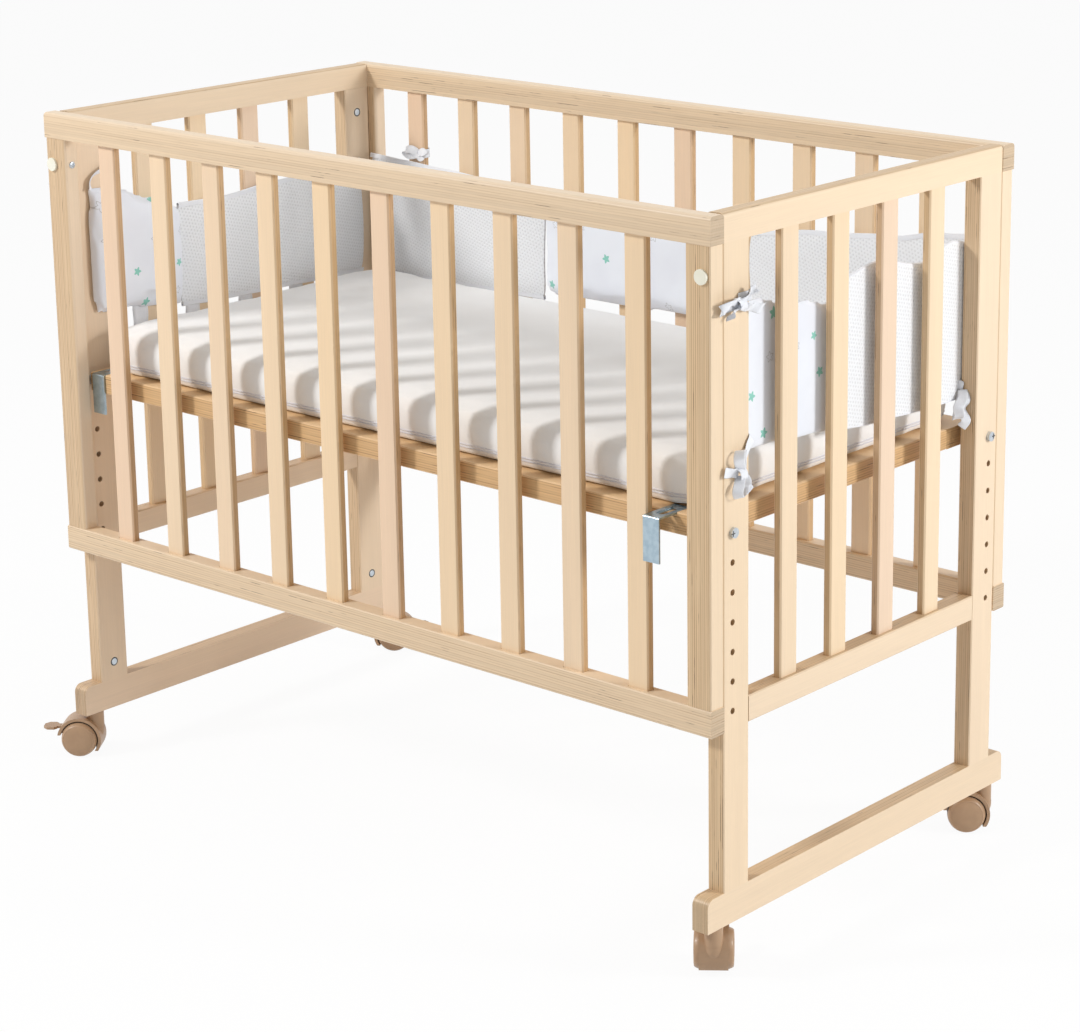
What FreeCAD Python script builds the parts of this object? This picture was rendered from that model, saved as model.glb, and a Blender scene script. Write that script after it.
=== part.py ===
import FreeCAD, Part
import math
import os
import re

import Sketcher

# A bedside sleeper crib: two end frames on foot rails with casters, a fixed back panel, a front
# panel that pulls off, and a slatted base that is bolted at one of seven heights.
# X runs along the crib, Y from the open side to the back, Z up from the floor.
# The origin is on the floor, under the middle of the frame.

V = FreeCAD.Vector
doc = FreeCAD.newDocument("bedside_crib")

# ---------------------------------------------------------------- sizes, in millimetres
SIZES = {
    # whole frame
    "crib_length": (955, "over the outer faces of the legs"),
    "crib_depth": (501, "front face of the front stiles to back face of the back stiles"),
    "caster_height": (53, "floor to underside of the foot rails"),
    "leg_length": (647.5, "top of foot rail to underside of end top rail"),
    "leg_thickness": (20, "board of the legs and end bottom rails, along X"),
    "leg_width": (39, "leg, along Y"),
    "board_bevel": (1.2, "eased edge of a board"),
    "panel_thickness": (19.5, "board of the stiles, along Y"),
    # rails
    "top_rail_height": (28, "every top rail"),
    "bottom_rail_height": (27.5, "every bottom rail"),
    "bottom_rail_up": (166.7, "foot of the legs to underside of the bottom rails"),
    "end_rail_thickness": (19.5, "end top rail, along X"),
    "rail_overhang_end": (1.0, "panel rail past the stile, along X"),
    "rail_overhang_face": (0.8, "panel rail past the stile's outer face"),
    "rail_round": (4.5, "radius on the upper long edges of the top rails"),
    "foot_rail_height": (35, "foot rail"),
    "foot_rail_thickness": (19.5, "foot rail, along X"),
    "foot_rail_overhang": (5.3, "foot rail past the faces of the long panels"),
    "foot_rail_round": (9, "radius at the top of a foot rail's ends"),
    # stiles and slats
    "stile_width": (30.8, "stile, along X"),
    "stile_round": (4, "radius on the stile's edges next to the slats"),
    "slat_thickness": (9.5, "every upright slat"),
    "slat_bevel": (1.6, "eased long edge of a slat"),
    "slat_inset": (5, "outer face of the stiles to outer face of the slats"),
    "panel_slat_count": (10, "slats in a long panel"),
    "panel_slat_pitch": (84.85, "slat to slat in a long panel"),
    "panel_slat_width": (26.5, "slat of a long panel, along X"),
    "end_slat_count": (4, "slats in an end"),
    "end_slat_pitch": (81.5, "slat to slat in an end"),
    "end_slat_width": (27, "slat of an end, along Y"),
    "tenon_depth": (8, "how far a slat goes into a rail"),
    "mortise_gap": (0.1, "round a slat in its mortise"),
    # height setting of the base
    "hole_rows": (7, "heights of the base"),
    "hole_pitch": (30, "height to height"),
    "hole_top_up": (365.7, "foot of the legs to the top hole"),
    "hole_setback": (13.75, "hole to the leg's edge at the long panel"),
    "hole_radius": (3.25, "hole for a base bolt"),
    "bolt_radius": (3, "every bolt"),
    "bolt_head_radius": (5.2, "pan head"),
    "bolt_head_height": (3.6, "pan head"),
    "bolt_gap": (0.05, "round a bolt or stud"),
    "base_bolt_grip": (11, "base bolt in the base"),
    "spacer_length": (7.5, "between a leg and the base's end"),
    "spacer_radius": (9, "spacer, one piece with its base bolt"),
    # base
    "base_thickness": (22, "rails of the base"),
    "base_side_gap": (3, "base to the inner face of a long panel"),
    "base_rail_width": (50, "long rail of the base, along Y"),
    "base_end_width": (45, "end rail of the base, along X"),
    "base_slat_count": (9, "cross slats of the base"),
    "base_slat_end_gap": (15, "end rail of the base to the first cross slat"),
    "base_slat_width": (60, "cross slat, along X"),
    "base_slat_thickness": (12, "cross slat"),
    "rebate_width": (15, "rebate that carries the cross slats"),
    "rebate_play": (0.3, "end of a cross slat to the rebate's wall"),
    # hook plates
    "hook_width": (20, "hook plate, along X"),
    "hook_thickness": (2, "sheet of the hook plates"),
    "hook_drop": (46, "hanging flange below the top of the base"),
    "hook_bend": (1.9, "outer radius of the bend"),
    "hook_left_inset": (15, "middle of the left hook plate to the end of the base"),
    "hook_right_inset": (42.8, "middle of the right hook plate to the end of the base"),
    "hook_in_gap": (0.2, "flange to the base's front face, pushed in"),
    "hook_out_gap": (0.9, "flange to the front rail's face, pulled out"),
    "hook_slot_radius": (2.7, "half the width of the slot"),
    "hook_ledge_radius": (4.8, "half the width of the recess round the slot"),
    "hook_ledge_depth": (1, "recess round the slot"),
    "hook_tail": (2.2, "slot's recess to the end of the plate"),
    "hook_recess_gap": (0.3, "round the plate in the base's recess"),
    "hook_screw_in": (14, "hook screw to the base's front face"),
    "hook_screw_radius": (2.5, "hook screw"),
    "hook_head_radius": (4.5, "head of the hook screw"),
    "hook_head_height": (0.9, "head of the hook screw"),
    "hook_screw_length": (15, "hook screw below its head"),
    # fittings of the panels
    "stud_drop": (29.5, "top of the legs down to the panel fittings"),
    "stud_radius": (4, "stud in a front leg"),
    "stud_in": (25, "stud in the leg"),
    "stud_out": (13, "stud in the stile"),
    "stud_gap": (0.1, "round a stud in the front panel"),
    "cap_radius": (7.5, "cover cap"),
    "cap_height": (2.4, "cover cap"),
    # casters
    "wheel_radius": (21, "caster wheel"),
    "wheel_width": (12.8, "caster wheel across its tread and cover"),
    "wheel_space": (15.2, "between the two wheels"),
    "axle_radius": (2.5, "axle"),
    "axle_gap": (0.05, "round the axle, and round the stem in the hood"),
    "caster_trail": (18, "stem to axle, seen from above"),
    "stem_radius": (4, "stem"),
    "stem_up": (30, "stem in the foot rail"),
    "stem_down": (24, "stem in the hood"),
    "stem_setback": (20.8, "stem to the end of the foot rail"),
    "hood_top_gap": (0.6, "foot rail to hood"),
    "hood_width": (29.3, "hood across the wheels"),
    "hood_wall": (3.4, "arch of the hood"),
    "hood_gap": (1.5, "wheel to hood"),
    "hood_side_gap": (0.4, "wheel to the hood's web"),
    "hood_skirt": (7, "lowest point of the hood above the floor"),
    "boss_radius": (9.5, "boss round the stem"),
    "boss_height": (26, "boss round the stem"),
    "lever_width": (8, "arm of the brake lever"),
    "lever_thickness": (3, "blade of the brake lever"),
    "lever_blade_width": (18, "blade of the brake lever"),
    "lever_blade_length": (16, "blade of the brake lever"),
    "lever_blade_corner": (5, "corners of the blade"),
    "lever_pivot_x": (13, "pivot of the brake lever behind the axle"),
    "lever_pivot_z": (11.5, "pivot above the axle"),
    "lever_hub_radius": (3.6, "hub of the lever"),
    "caster_front_left_angle": (-142.3, "way a caster trails, from +X"),
    "caster_front_right_angle": (127.7, "way a caster trails, from +X"),
    "caster_back_left_angle": (37.7, "way a caster trails, from +X"),
    "caster_back_right_angle": (-142.3, "way a caster trails, from +X"),
    # mattress
    "mattress_height": (54, "mattress at its crown"),
    "mattress_end_gap": (4, "mattress to the end of the base"),
    "mattress_side_gap": (4, "mattress to the front of the base"),
    "mattress_corner": (38, "corner radius seen from above"),
    "soft_gap": (0.3, "soft part to what carries it"),
    # bumper
    "bumper_thickness": (15, "padding at mid height"),
    "bumper_edge": (4, "bound edge"),
    "bumper_left_setback": (9, "left side's front end behind the front panel"),
    "bumper_right_setback": (41, "right side's front end behind the front panel"),
    "bumper_corner_gap": (3, "sides of the bumper to its back"),
    "bumper_end_gap": (2.5, "back of the bumper to the legs' inner faces"),
    "bumper_draw": (34, "bumper, edge to its full thickness"),
    # ribbon ties
    "ribbon_width": (10, "satin ribbon"),
    "ribbon_thickness": (0.8, "satin ribbon, doubled"),
    "bow_depth": (6, "a bow, out from its leg"),
    "tie_top_up": (584, "upper tie above the foot of the legs"),
    "tie_low_up": (424, "lower tie above the foot of the legs"),
}

sheet = doc.addObject("Spreadsheet::Sheet", "Sizes")
for row, (alias, (number, note)) in enumerate(SIZES.items(), start=1):
    sheet.set(f"A{row}", alias)
    sheet.set(f"B{row}", str(number))
    sheet.setAlias(f"B{row}", alias)
    sheet.set(f"C{row}", note)
doc.recompute()


def ex(text):
    """The text with each size's name turned into a reference to its cell."""
    return re.sub(r"[a-z][a-z_]*", lambda m: "Sizes." + m[0] if m[0] in SIZES else m[0], text)


def val(text):
    """The number that an expression in the sizes gives."""
    return float(sheet.evalExpression(ex(text)))


# Places worked out from the sizes. Distances from a middle plane are named for the +X or +Y side.
END_X = "(crib_length / 2)"
LEG_IN_X = f"({END_X} - leg_thickness)"
LEG_MID_X = f"({END_X} - leg_thickness / 2)"
STILE_IN_X = f"({END_X} - stile_width)"
FACE_Y = "(crib_depth / 2)"
PANEL_IN_Y = f"({FACE_Y} - panel_thickness)"
RAIL_FACE_Y = f"({FACE_Y} + rail_overhang_face)"
LEG_IN_Y = f"({PANEL_IN_Y} - leg_width)"
LEG_MID_Y = f"({PANEL_IN_Y} - leg_width / 2)"
LEG_FOOT = "(caster_height + foot_rail_height)"
LEG_TOP = f"({LEG_FOOT} + leg_length)"
STUD_Z = f"({LEG_TOP} - stud_drop)"
LOW_RAIL = f"({LEG_FOOT} + bottom_rail_up)"
LOW_RAIL_TOP = f"({LOW_RAIL} + bottom_rail_height)"
HOLE_Z = f"({LEG_FOOT} + hole_top_up)"
HOLE_Y = f"({PANEL_IN_Y} - hole_setback)"
BASE_X = f"({LEG_IN_X} - spacer_length)"
BASE_Y = f"({PANEL_IN_Y} - base_side_gap)"
BASE_LOW = f"({HOLE_Z} - base_thickness / 2)"
BASE_TOP = f"({HOLE_Z} + base_thickness / 2)"
HOOK_IN_Y = f"({BASE_Y} + hook_in_gap)"
HOOK_OUT_Y = f"({RAIL_FACE_Y} + hook_out_gap)"
HOOK_TRAVEL = f"({HOOK_OUT_Y} - {HOOK_IN_Y})"
FOOT_END_Y = f"({FACE_Y} + foot_rail_overhang)"
STEM_X = f"({END_X} - foot_rail_thickness / 2)"
STEM_Y = f"({FOOT_END_Y} - stem_setback)"


# ---------------------------------------------------------------- ways of making a piece
SKETCH_PLANE = {"x": "YZ_Plane", "y": "XZ_Plane", "z": "XY_Plane"}
IN_SKETCH = {
    "x": lambda x, y, z: (y, z, x),
    "y": lambda x, y, z: (x, z, f"-({y})"),
    "z": lambda x, y, z: (x, y, z),
}
CUTS_BACKWARDS = {"+x": True, "-x": False, "+y": False, "-y": True, "+z": True, "-z": False}


def bind(obj, **links):
    for prop, text in links.items():
        obj.setExpression(prop, ex(text))
    return obj


def place(obj, x, y, z):
    for axis, text in zip("xyz", (x, y, z)):
        obj.setExpression("Placement.Base." + axis, ex(text))
    return obj


def span(side, near, size):
    """Start and length of a stretch on one side (+1 or -1) of a middle plane."""
    return (near if side > 0 else f"-({near} + {size})", size)


def centred(size):
    return (f"-({size}) / 2", size)


def new_body(name):
    body = doc.addObject("PartDesign::Body", name)
    body.Label = name
    return body


def origin_part(body, role):
    return next(part for part in body.Origin.OriginFeatures if part.Role == role)


def new_sketch(body, name, axis, corner):
    """A sketch square to an axis, with its own origin at the corner."""
    sketch = body.newObject("Sketcher::SketchObject", name)
    sketch.AttachmentSupport = (origin_part(body, SKETCH_PLANE[axis]), [""])
    sketch.MapMode = "FlatFace"
    for key, text in zip("xyz", IN_SKETCH[axis](*corner)):
        sketch.setExpression("AttachmentOffset.Base." + key, ex(text))
    return sketch


def constrain(sketch, *args):
    """A constraint whose last argument, the size, is an expression."""
    index = sketch.addConstraint(Sketcher.Constraint(*args[:-1], val(args[-1])))
    sketch.setExpression(f"Constraints[{index}]", ex(args[-1]))


def draw_rectangle(sketch, width, height):
    w, h = val(width), val(height)
    corners = [V(0, 0, 0), V(w, 0, 0), V(w, h, 0), V(0, h, 0)]
    for index in range(4):
        sketch.addGeometry(Part.LineSegment(corners[index], corners[(index + 1) % 4]))
    for index in range(4):
        sketch.addConstraint(Sketcher.Constraint("Coincident", index, 2, (index + 1) % 4, 1))
        flat = "Horizontal" if index % 2 == 0 else "Vertical"
        sketch.addConstraint(Sketcher.Constraint(flat, index))
    sketch.addConstraint(Sketcher.Constraint("Coincident", 0, 1, -1, 1))
    constrain(sketch, "DistanceX", 0, 1, 0, 2, width)
    constrain(sketch, "DistanceY", 1, 1, 1, 2, height)


def draw_circle(sketch, radius):
    sketch.addGeometry(Part.Circle(V(0, 0, 0), V(0, 0, 1), val(radius)))
    sketch.addConstraint(Sketcher.Constraint("Coincident", 0, 3, -1, 1))
    constrain(sketch, "Radius", 0, radius)


def draw_slot(sketch, run, radius):
    """A slot up the sketch, from its origin to a second centre a run further."""
    length, r = val(run), val(radius)
    sketch.addGeometry(Part.LineSegment(V(r, 0, 0), V(r, length, 0)))
    sketch.addGeometry(Part.ArcOfCircle(Part.Circle(V(0, length, 0), V(0, 0, 1), r), 0, math.pi))
    sketch.addGeometry(Part.LineSegment(V(-r, length, 0), V(-r, 0, 0)))
    sketch.addGeometry(Part.ArcOfCircle(Part.Circle(V(0, 0, 0), V(0, 0, 1), r), math.pi, 2 * math.pi))
    for index in range(4):
        pair = (index, 2, (index + 1) % 4, 1)
        sketch.addConstraint(Sketcher.Constraint("Tangent", *pair))
    sketch.addConstraint(Sketcher.Constraint("Vertical", 0))
    sketch.addConstraint(Sketcher.Constraint("Coincident", 3, 3, -1, 1))
    constrain(sketch, "Radius", 3, radius)
    constrain(sketch, "DistanceY", 3, 3, 1, 3, run)


def pad(body, name, sketch, length):
    feature = body.newObject("PartDesign::Pad", name)
    feature.Profile = sketch
    return bind(feature, Length=length)


def pocket(body, name, way, sketch, depth):
    """A cut from the sketch along a way such as "+x"."""
    feature = body.newObject("PartDesign::Pocket", name)
    feature.Profile = sketch
    feature.Reversed = CUTS_BACKWARDS[way]
    return bind(feature, Length=depth)


def drill(body, name, way, at, radius, depth):
    sketch = new_sketch(body, name + "_circle", way[1], at)
    draw_circle(sketch, radius)
    return pocket(body, name, way, sketch, depth)


def notch(body, name, way, corner, width, height, depth):
    sketch = new_sketch(body, name + "_outline", way[1], corner)
    draw_rectangle(sketch, width, height)
    return pocket(body, name, way, sketch, depth)


def repeat(body, name, axis, pitch, count, features=()):
    """Copies of the features, or of the whole body, along an axis of the body."""
    pattern = body.newObject("PartDesign::LinearPattern", name)
    if features:
        pattern.Originals = list(features)
    else:
        pattern.TransformMode = "Whole shape"
    pattern.Direction = (origin_part(body, axis + "_Axis"), [""])
    pattern.Mode = "Spacing"
    bind(pattern, Offset=pitch, Occurrences=count)
    body.Tip = pattern
    return pattern


def edges_on(shape, words):
    """Names of the straight edges along an axis, on the given sides: "x +y +z"."""
    axis, *sides = words.split()
    box = shape.BoundBox
    names = []
    for index, edge in enumerate(shape.Edges, start=1):
        ends = [vertex.Point for vertex in edge.Vertexes]
        if len(ends) < 2 or abs(abs(getattr(ends[1] - ends[0], axis)) - edge.Length) > 1e-4:
            continue
        limits = {side: getattr(box, side[1].upper() + ("Max" if side[0] == "+" else "Min"))
                  for side in sides}
        if all(abs(getattr(ends[0], side[1]) - limit) < 1e-3 for side, limit in limits.items()):
            names.append(f"Edge{index}")
    return names


def ease(body, name, kind, size, groups):
    """Round ("Fillet") or bevel ("Chamfer") the edges that the groups name on the body so far."""
    doc.recompute()
    tip = body.Tip
    names = sorted({edge for words in groups for edge in edges_on(tip.Shape, words)})
    eased = body.newObject("PartDesign::" + kind, name)
    eased.Base = (tip, names)
    return bind(eased, **{"Radius" if kind == "Fillet" else "Size": size})


def board(name, x, y, z, edges=()):
    """A board: x, y and z give its start and size, edges how its edges are eased."""
    body = new_body(name)
    sketch = new_sketch(body, name + "_section", "z", (x[0], y[0], z[0]))
    draw_rectangle(sketch, x[1], y[1])
    pad(body, name + "_length", sketch, z[1])
    for count, (kind, size, groups) in enumerate(edges, start=1):
        ease(body, f"{name}_edges_{count}", kind, size, groups)
    return body


AXES = {"x": V(1, 0, 0), "y": V(0, 1, 0), "z": V(0, 0, 1)}


def cylinder(name, way, x, y, z, radius, length):
    """A round bar from a point along a way such as "-x"."""
    bar = doc.addObject("Part::Cylinder", name)
    aim = AXES[way[1]] * (1 if way[0] == "+" else -1)
    bar.Placement = FreeCAD.Placement(V(0, 0, 0), FreeCAD.Rotation(V(0, 0, 1), aim))
    bind(bar, Radius=radius, Height=length)
    return place(bar, x, y, z)


def block(name, x, y, z):
    box = doc.addObject("Part::Box", name)
    bind(box, Length=x[1], Width=y[1], Height=z[1])
    return place(box, x[0], y[0], z[0])


def cut(name, base, *tools):
    for count, tool in enumerate(tools, start=1):
        result = doc.addObject("Part::Cut", name if count == len(tools) else f"{name}_cut_{count}")
        result.Base = base
        result.Tool = tool
        base = result
    return base


def fuse(name, *shapes):
    result = doc.addObject("Part::MultiFuse", name)
    result.Shapes = list(shapes)
    return result


def group(name, solids):
    """Separate solids of one kind, under one name."""
    result = doc.addObject("Part::Compound", name)
    result.Links = list(solids)
    result.Label = name
    return result


def minus(side, text):
    return text if side > 0 else f"-({text})"


def toward(side, axis):
    return ("+" if side > 0 else "-") + axis


NODES = []


def keep(*objects):
    NODES.extend(objects)
    return objects[0]


SIDES = (("left", -1), ("right", 1))
ENDS = (("front", -1), ("back", 1))


# ---------------------------------------------------------------- end frames
def make_leg(end, way, side, sign):
    name = f"leg_{end}_{side}"
    leg = board(name, span(sign, LEG_IN_X, "leg_thickness"), span(way, LEG_IN_Y, "leg_width"),
                (LEG_FOOT, "leg_length"), [("Chamfer", "board_bevel", ["z"])])
    lowest = f"{HOLE_Z} - (hole_rows - 1) * hole_pitch"
    first = drill(leg, name + "_height_hole", toward(-sign, "x"),
                  (minus(sign, END_X), minus(way, HOLE_Y), lowest), "hole_radius", "leg_thickness")
    repeat(leg, name + "_height_holes", "Z", "hole_pitch", "hole_rows", [first])
    if end == "front":
        drill(leg, name + "_stud_hole", "+y", (minus(sign, LEG_MID_X), f"-{PANEL_IN_Y}", STUD_Z),
              "stud_radius + bolt_gap", "stud_in")
    return leg


def end_mortises(rail, x_mid, z, way):
    """The row of mortises for an end's slats, cut up or down from the height z."""
    name = rail.Name + "_mortise"
    first_y = "-((end_slat_count - 1) * end_slat_pitch + end_slat_width) / 2 - mortise_gap"
    corner = (f"{x_mid} - slat_thickness / 2 - mortise_gap", first_y, z)
    first = notch(rail, name, way, corner, "slat_thickness + 2 * mortise_gap",
                  "end_slat_width + 2 * mortise_gap", "tenon_depth")
    repeat(rail, name + "s", "Y", "end_slat_pitch", "end_slat_count", [first])


def make_end(side, sign):
    x_rail = span(sign, f"({END_X} - end_rail_thickness)", "end_rail_thickness")
    x_mid = minus(sign, f"({END_X} - end_rail_thickness / 2)")
    top_rail = board(f"end_top_rail_{side}", x_rail, (f"-{PANEL_IN_Y}", f"2 * {PANEL_IN_Y}"),
                     (LEG_TOP, "top_rail_height"), [("Fillet", "rail_round", ["y +x +z", "y -x +z"])])
    end_mortises(top_rail, x_mid, LEG_TOP, "+z")
    low_rail = board(f"end_bottom_rail_{side}", span(sign, LEG_IN_X, "leg_thickness"),
                     (f"-{LEG_IN_Y}", f"2 * {LEG_IN_Y}"), (LOW_RAIL, "bottom_rail_height"),
                     [("Chamfer", "board_bevel", ["y"])])
    end_mortises(low_rail, x_mid, LOW_RAIL_TOP, "-z")
    first_y = "-((end_slat_count - 1) * end_slat_pitch + end_slat_width) / 2"
    slats = board(f"end_slats_{side}", (f"{x_mid} - slat_thickness / 2", "slat_thickness"),
                  (first_y, "end_slat_width"),
                  (f"{LOW_RAIL_TOP} - tenon_depth", f"{LEG_TOP} - {LOW_RAIL_TOP} + 2 * tenon_depth"),
                  [("Chamfer", "slat_bevel", ["z"])])
    repeat(slats, slats.Name + "_row", "Y", "end_slat_pitch", "end_slat_count")
    keep(top_rail, low_rail, slats)


def make_foot_rail(side, sign):
    name = f"foot_rail_{side}"
    rail = board(name, span(sign, f"({END_X} - foot_rail_thickness)", "foot_rail_thickness"),
                 (f"-{FOOT_END_Y}", f"2 * {FOOT_END_Y}"), ("caster_height", "foot_rail_height"),
                 [("Fillet", "foot_rail_round", ["x +y +z", "x -y +z"])])
    for end, way in ENDS:
        drill(rail, f"{name}_{end}_stem_hole", "+z",
              (minus(sign, STEM_X), minus(way, STEM_Y), "caster_height"),
              "stem_radius + axle_gap", "stem_up")
    return rail


for side, sign in SIDES:
    for end, way in ENDS:
        keep(make_leg(end, way, side, sign))
    make_end(side, sign)
    keep(make_foot_rail(side, sign))


# ---------------------------------------------------------------- long panels
FIRST_SLAT_X = "(-((panel_slat_count - 1) * panel_slat_pitch + panel_slat_width) / 2)"
SLAT_NEAR_Y = f"({FACE_Y} - slat_inset - slat_thickness)"


def panel_mortises(rail, way, z, cut_way):
    y = span(way, f"({SLAT_NEAR_Y} - mortise_gap)", "(slat_thickness + 2 * mortise_gap)")
    name = rail.Name + "_mortise"
    first = notch(rail, name, cut_way, (f"{FIRST_SLAT_X} - mortise_gap", y[0], z),
                  "panel_slat_width + 2 * mortise_gap", y[1], "tenon_depth")
    repeat(rail, name + "s", "X", "panel_slat_pitch", "panel_slat_count", [first])


def make_panel(end, way):
    x_rail = centred(f"(crib_length + 2 * rail_overhang_end)")
    y_rail = span(way, PANEL_IN_Y, "(panel_thickness + rail_overhang_face)")
    top_rail = board(f"{end}_top_rail", x_rail, y_rail, (LEG_TOP, "top_rail_height"),
                     [("Fillet", "rail_round", ["x +y +z", "x -y +z"])])
    panel_mortises(top_rail, way, LEG_TOP, "+z")
    low_rail = board(f"{end}_bottom_rail", x_rail, y_rail, (LOW_RAIL, "bottom_rail_height"),
                     [("Chamfer", "board_bevel", ["x"])])
    panel_mortises(low_rail, way, LOW_RAIL_TOP, "-z")
    slats = board(f"{end}_slats", (FIRST_SLAT_X, "panel_slat_width"),
                  span(way, SLAT_NEAR_Y, "slat_thickness"),
                  (f"{LOW_RAIL_TOP} - tenon_depth", f"{LEG_TOP} - {LOW_RAIL_TOP} + 2 * tenon_depth"),
                  [("Chamfer", "slat_bevel", ["z"])])
    repeat(slats, slats.Name + "_row", "X", "panel_slat_pitch", "panel_slat_count")
    keep(top_rail, low_rail, slats)


def make_stile(end, way, side, sign):
    name = f"{end}_stile_{side}"
    stile = board(name, span(sign, STILE_IN_X, "stile_width"),
                  span(way, PANEL_IN_Y, "panel_thickness"),
                  (LOW_RAIL_TOP, f"{LEG_TOP} - {LOW_RAIL_TOP}"),
                  [("Fillet", "stile_round", [f"z {toward(-sign, 'x')}"]),
                   ("Chamfer", "board_bevel", [f"z {toward(sign, 'x')}"])])
    if end == "front":
        drill(stile, name + "_stud_hole", "-y",
              (minus(sign, LEG_MID_X), f"-{PANEL_IN_Y}", STUD_Z),
              "stud_radius + stud_gap", "stud_out + stud_gap")
    return stile


for end, way in ENDS:
    make_panel(end, way)
    for side, sign in SIDES:
        keep(make_stile(end, way, side, sign))


# ---------------------------------------------------------------- bed base
HOOKS = (("left", f"(hook_left_inset - {BASE_X})", "0"),
         ("right", f"({BASE_X} - hook_right_inset)", HOOK_TRAVEL))
HOOK_SCREW_Y = f"(-{BASE_Y} + hook_screw_in)"
HOOK_LENGTH = f"(hook_in_gap + hook_thickness + hook_screw_in + {HOOK_TRAVEL} + hook_ledge_radius + hook_tail)"


def make_base_rail(end, way):
    name = f"base_{end}_rail"
    rail = board(name, centred(f"(2 * {BASE_X})"),
                 span(way, f"({BASE_Y} - base_rail_width)", "base_rail_width"),
                 (BASE_LOW, "base_thickness"), [("Chamfer", "board_bevel", ["x"])])
    rebate_y = span(way, f"({BASE_Y} - base_rail_width)", "rebate_width")
    notch(rail, name + "_rebate", "-z", (f"-({BASE_X} - base_end_width)", rebate_y[0], BASE_TOP),
          f"2 * ({BASE_X} - base_end_width)", "rebate_width", "base_slat_thickness")
    for side, sign in SIDES:
        drill(rail, f"{name}_bolt_hole_{side}", toward(-sign, "x"),
              (minus(sign, BASE_X), minus(way, HOLE_Y), HOLE_Z),
              "bolt_radius + bolt_gap", "base_bolt_grip + bolt_radius")
    return rail


front_rail = make_base_rail("front", -1)
for side, hook_x, shift in HOOKS:
    notch(front_rail, f"base_hook_recess_{side}", "-z",
          (f"{hook_x} - hook_width / 2 - hook_recess_gap", f"-{BASE_Y}", BASE_TOP),
          "hook_width + 2 * hook_recess_gap",
          f"{HOOK_LENGTH} - hook_thickness - hook_in_gap + hook_recess_gap", "hook_thickness")
    drill(front_rail, f"base_hook_screw_hole_{side}", "-z", (hook_x, HOOK_SCREW_Y, BASE_TOP),
          "hook_screw_radius + bolt_gap", "hook_ledge_depth + hook_screw_length")
back_rail = make_base_rail("back", 1)

end_rails = board("base_end_rails", (f"-{BASE_X}", "base_end_width"),
                  centred(f"(2 * ({BASE_Y} - base_rail_width))"), (BASE_LOW, "base_thickness"),
                  [("Chamfer", "board_bevel", ["y"])])
repeat(end_rails, "base_end_rails_pair", "X", f"2 * {BASE_X} - base_end_width", "2")

SLAT_REACH = f"({BASE_Y} - base_rail_width + rebate_width - rebate_play)"
SLATS_X = f"({BASE_X} - base_end_width - base_slat_end_gap)"
cross_slats = board("base_slats", (f"-{SLATS_X}", "base_slat_width"),
                    centred(f"(2 * {SLAT_REACH})"),
                    (f"{BASE_TOP} - base_slat_thickness", "base_slat_thickness"),
                    [("Chamfer", "board_bevel", ["y +x +z", "y -x +z"])])
repeat(cross_slats, "base_slats_row", "X",
       f"(2 * {SLATS_X} - base_slat_width) / (base_slat_count - 1)", "base_slat_count")
keep(front_rail, back_rail, end_rails, cross_slats)


def make_base_bolt(end, way, side, sign):
    """A base bolt: head outside the leg, six-sided spacer between leg and base, end in the base."""
    name = f"base_bolt_{end}_{side}"
    inward = toward(-sign, "x")
    y = minus(way, HOLE_Y)
    outer = (minus(sign, END_X), y, HOLE_Z)
    spacer = doc.addObject("Part::Prism", name + "_spacer")
    spacer.Placement.Rotation = FreeCAD.Rotation(V(0, 0, 1), -sign * AXES["x"])
    bind(spacer, Polygon="6", Circumradius="spacer_radius", Height="spacer_length")
    place(spacer, minus(sign, LEG_IN_X), y, HOLE_Z)
    return fuse(name,
                cylinder(name + "_shank", inward, *outer, "bolt_radius",
                         "leg_thickness + spacer_length + base_bolt_grip"),
                cylinder(name + "_head", toward(sign, "x"), *outer, "bolt_head_radius",
                         "bolt_head_height"),
                spacer)


keep(group("base_bolts", [make_base_bolt(end, way, side, sign)
                          for end, way in ENDS for side, sign in SIDES]))


# ---------------------------------------------------------------- hook plates
def make_hook(side, hook_x, shift):
    """A sheet bent to an L: it lies in the base and its flange hangs in front of it."""
    name = f"hook_{side}"
    x = (f"{hook_x} - hook_width / 2", "hook_width")
    flange_y = f"(-{HOOK_IN_Y} - hook_thickness - {shift})"
    hook = board(name, x, (flange_y, HOOK_LENGTH), (f"{BASE_TOP} - hook_thickness", "hook_thickness"))
    section = new_sketch(hook, name + "_flange_section", "z",
                         (x[0], flange_y, f"{BASE_TOP} - hook_drop"))
    draw_rectangle(section, x[1], "hook_thickness")
    pad(hook, name + "_flange", section, "hook_drop")
    ease(hook, name + "_bend", "Fillet", "hook_bend", ["x -y +z"])
    slot_y = f"{HOOK_SCREW_Y} - {shift}"
    for part, radius, depth in (("slot", "hook_slot_radius", "hook_thickness"),
                                ("ledge", "hook_ledge_radius", "hook_ledge_depth")):
        outline = new_sketch(hook, f"{name}_{part}_outline", "z", (hook_x, slot_y, BASE_TOP))
        draw_slot(outline, HOOK_TRAVEL, radius)
        pocket(hook, f"{name}_{part}", "-z", outline, depth)
    return hook


for hook in HOOKS:
    keep(make_hook(*hook))

screws = []
for side, hook_x, shift in HOOKS:
    seat = (hook_x, HOOK_SCREW_Y, f"{BASE_TOP} - hook_ledge_depth")
    screws.append(fuse(f"hook_screw_{side}",
                       cylinder(f"hook_screw_head_{side}", "+z", *seat, "hook_head_radius",
                                "hook_head_height"),
                       cylinder(f"hook_screw_shank_{side}", "-z", *seat, "hook_screw_radius",
                                "hook_screw_length")))
keep(group("hook_screws", screws))


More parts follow.
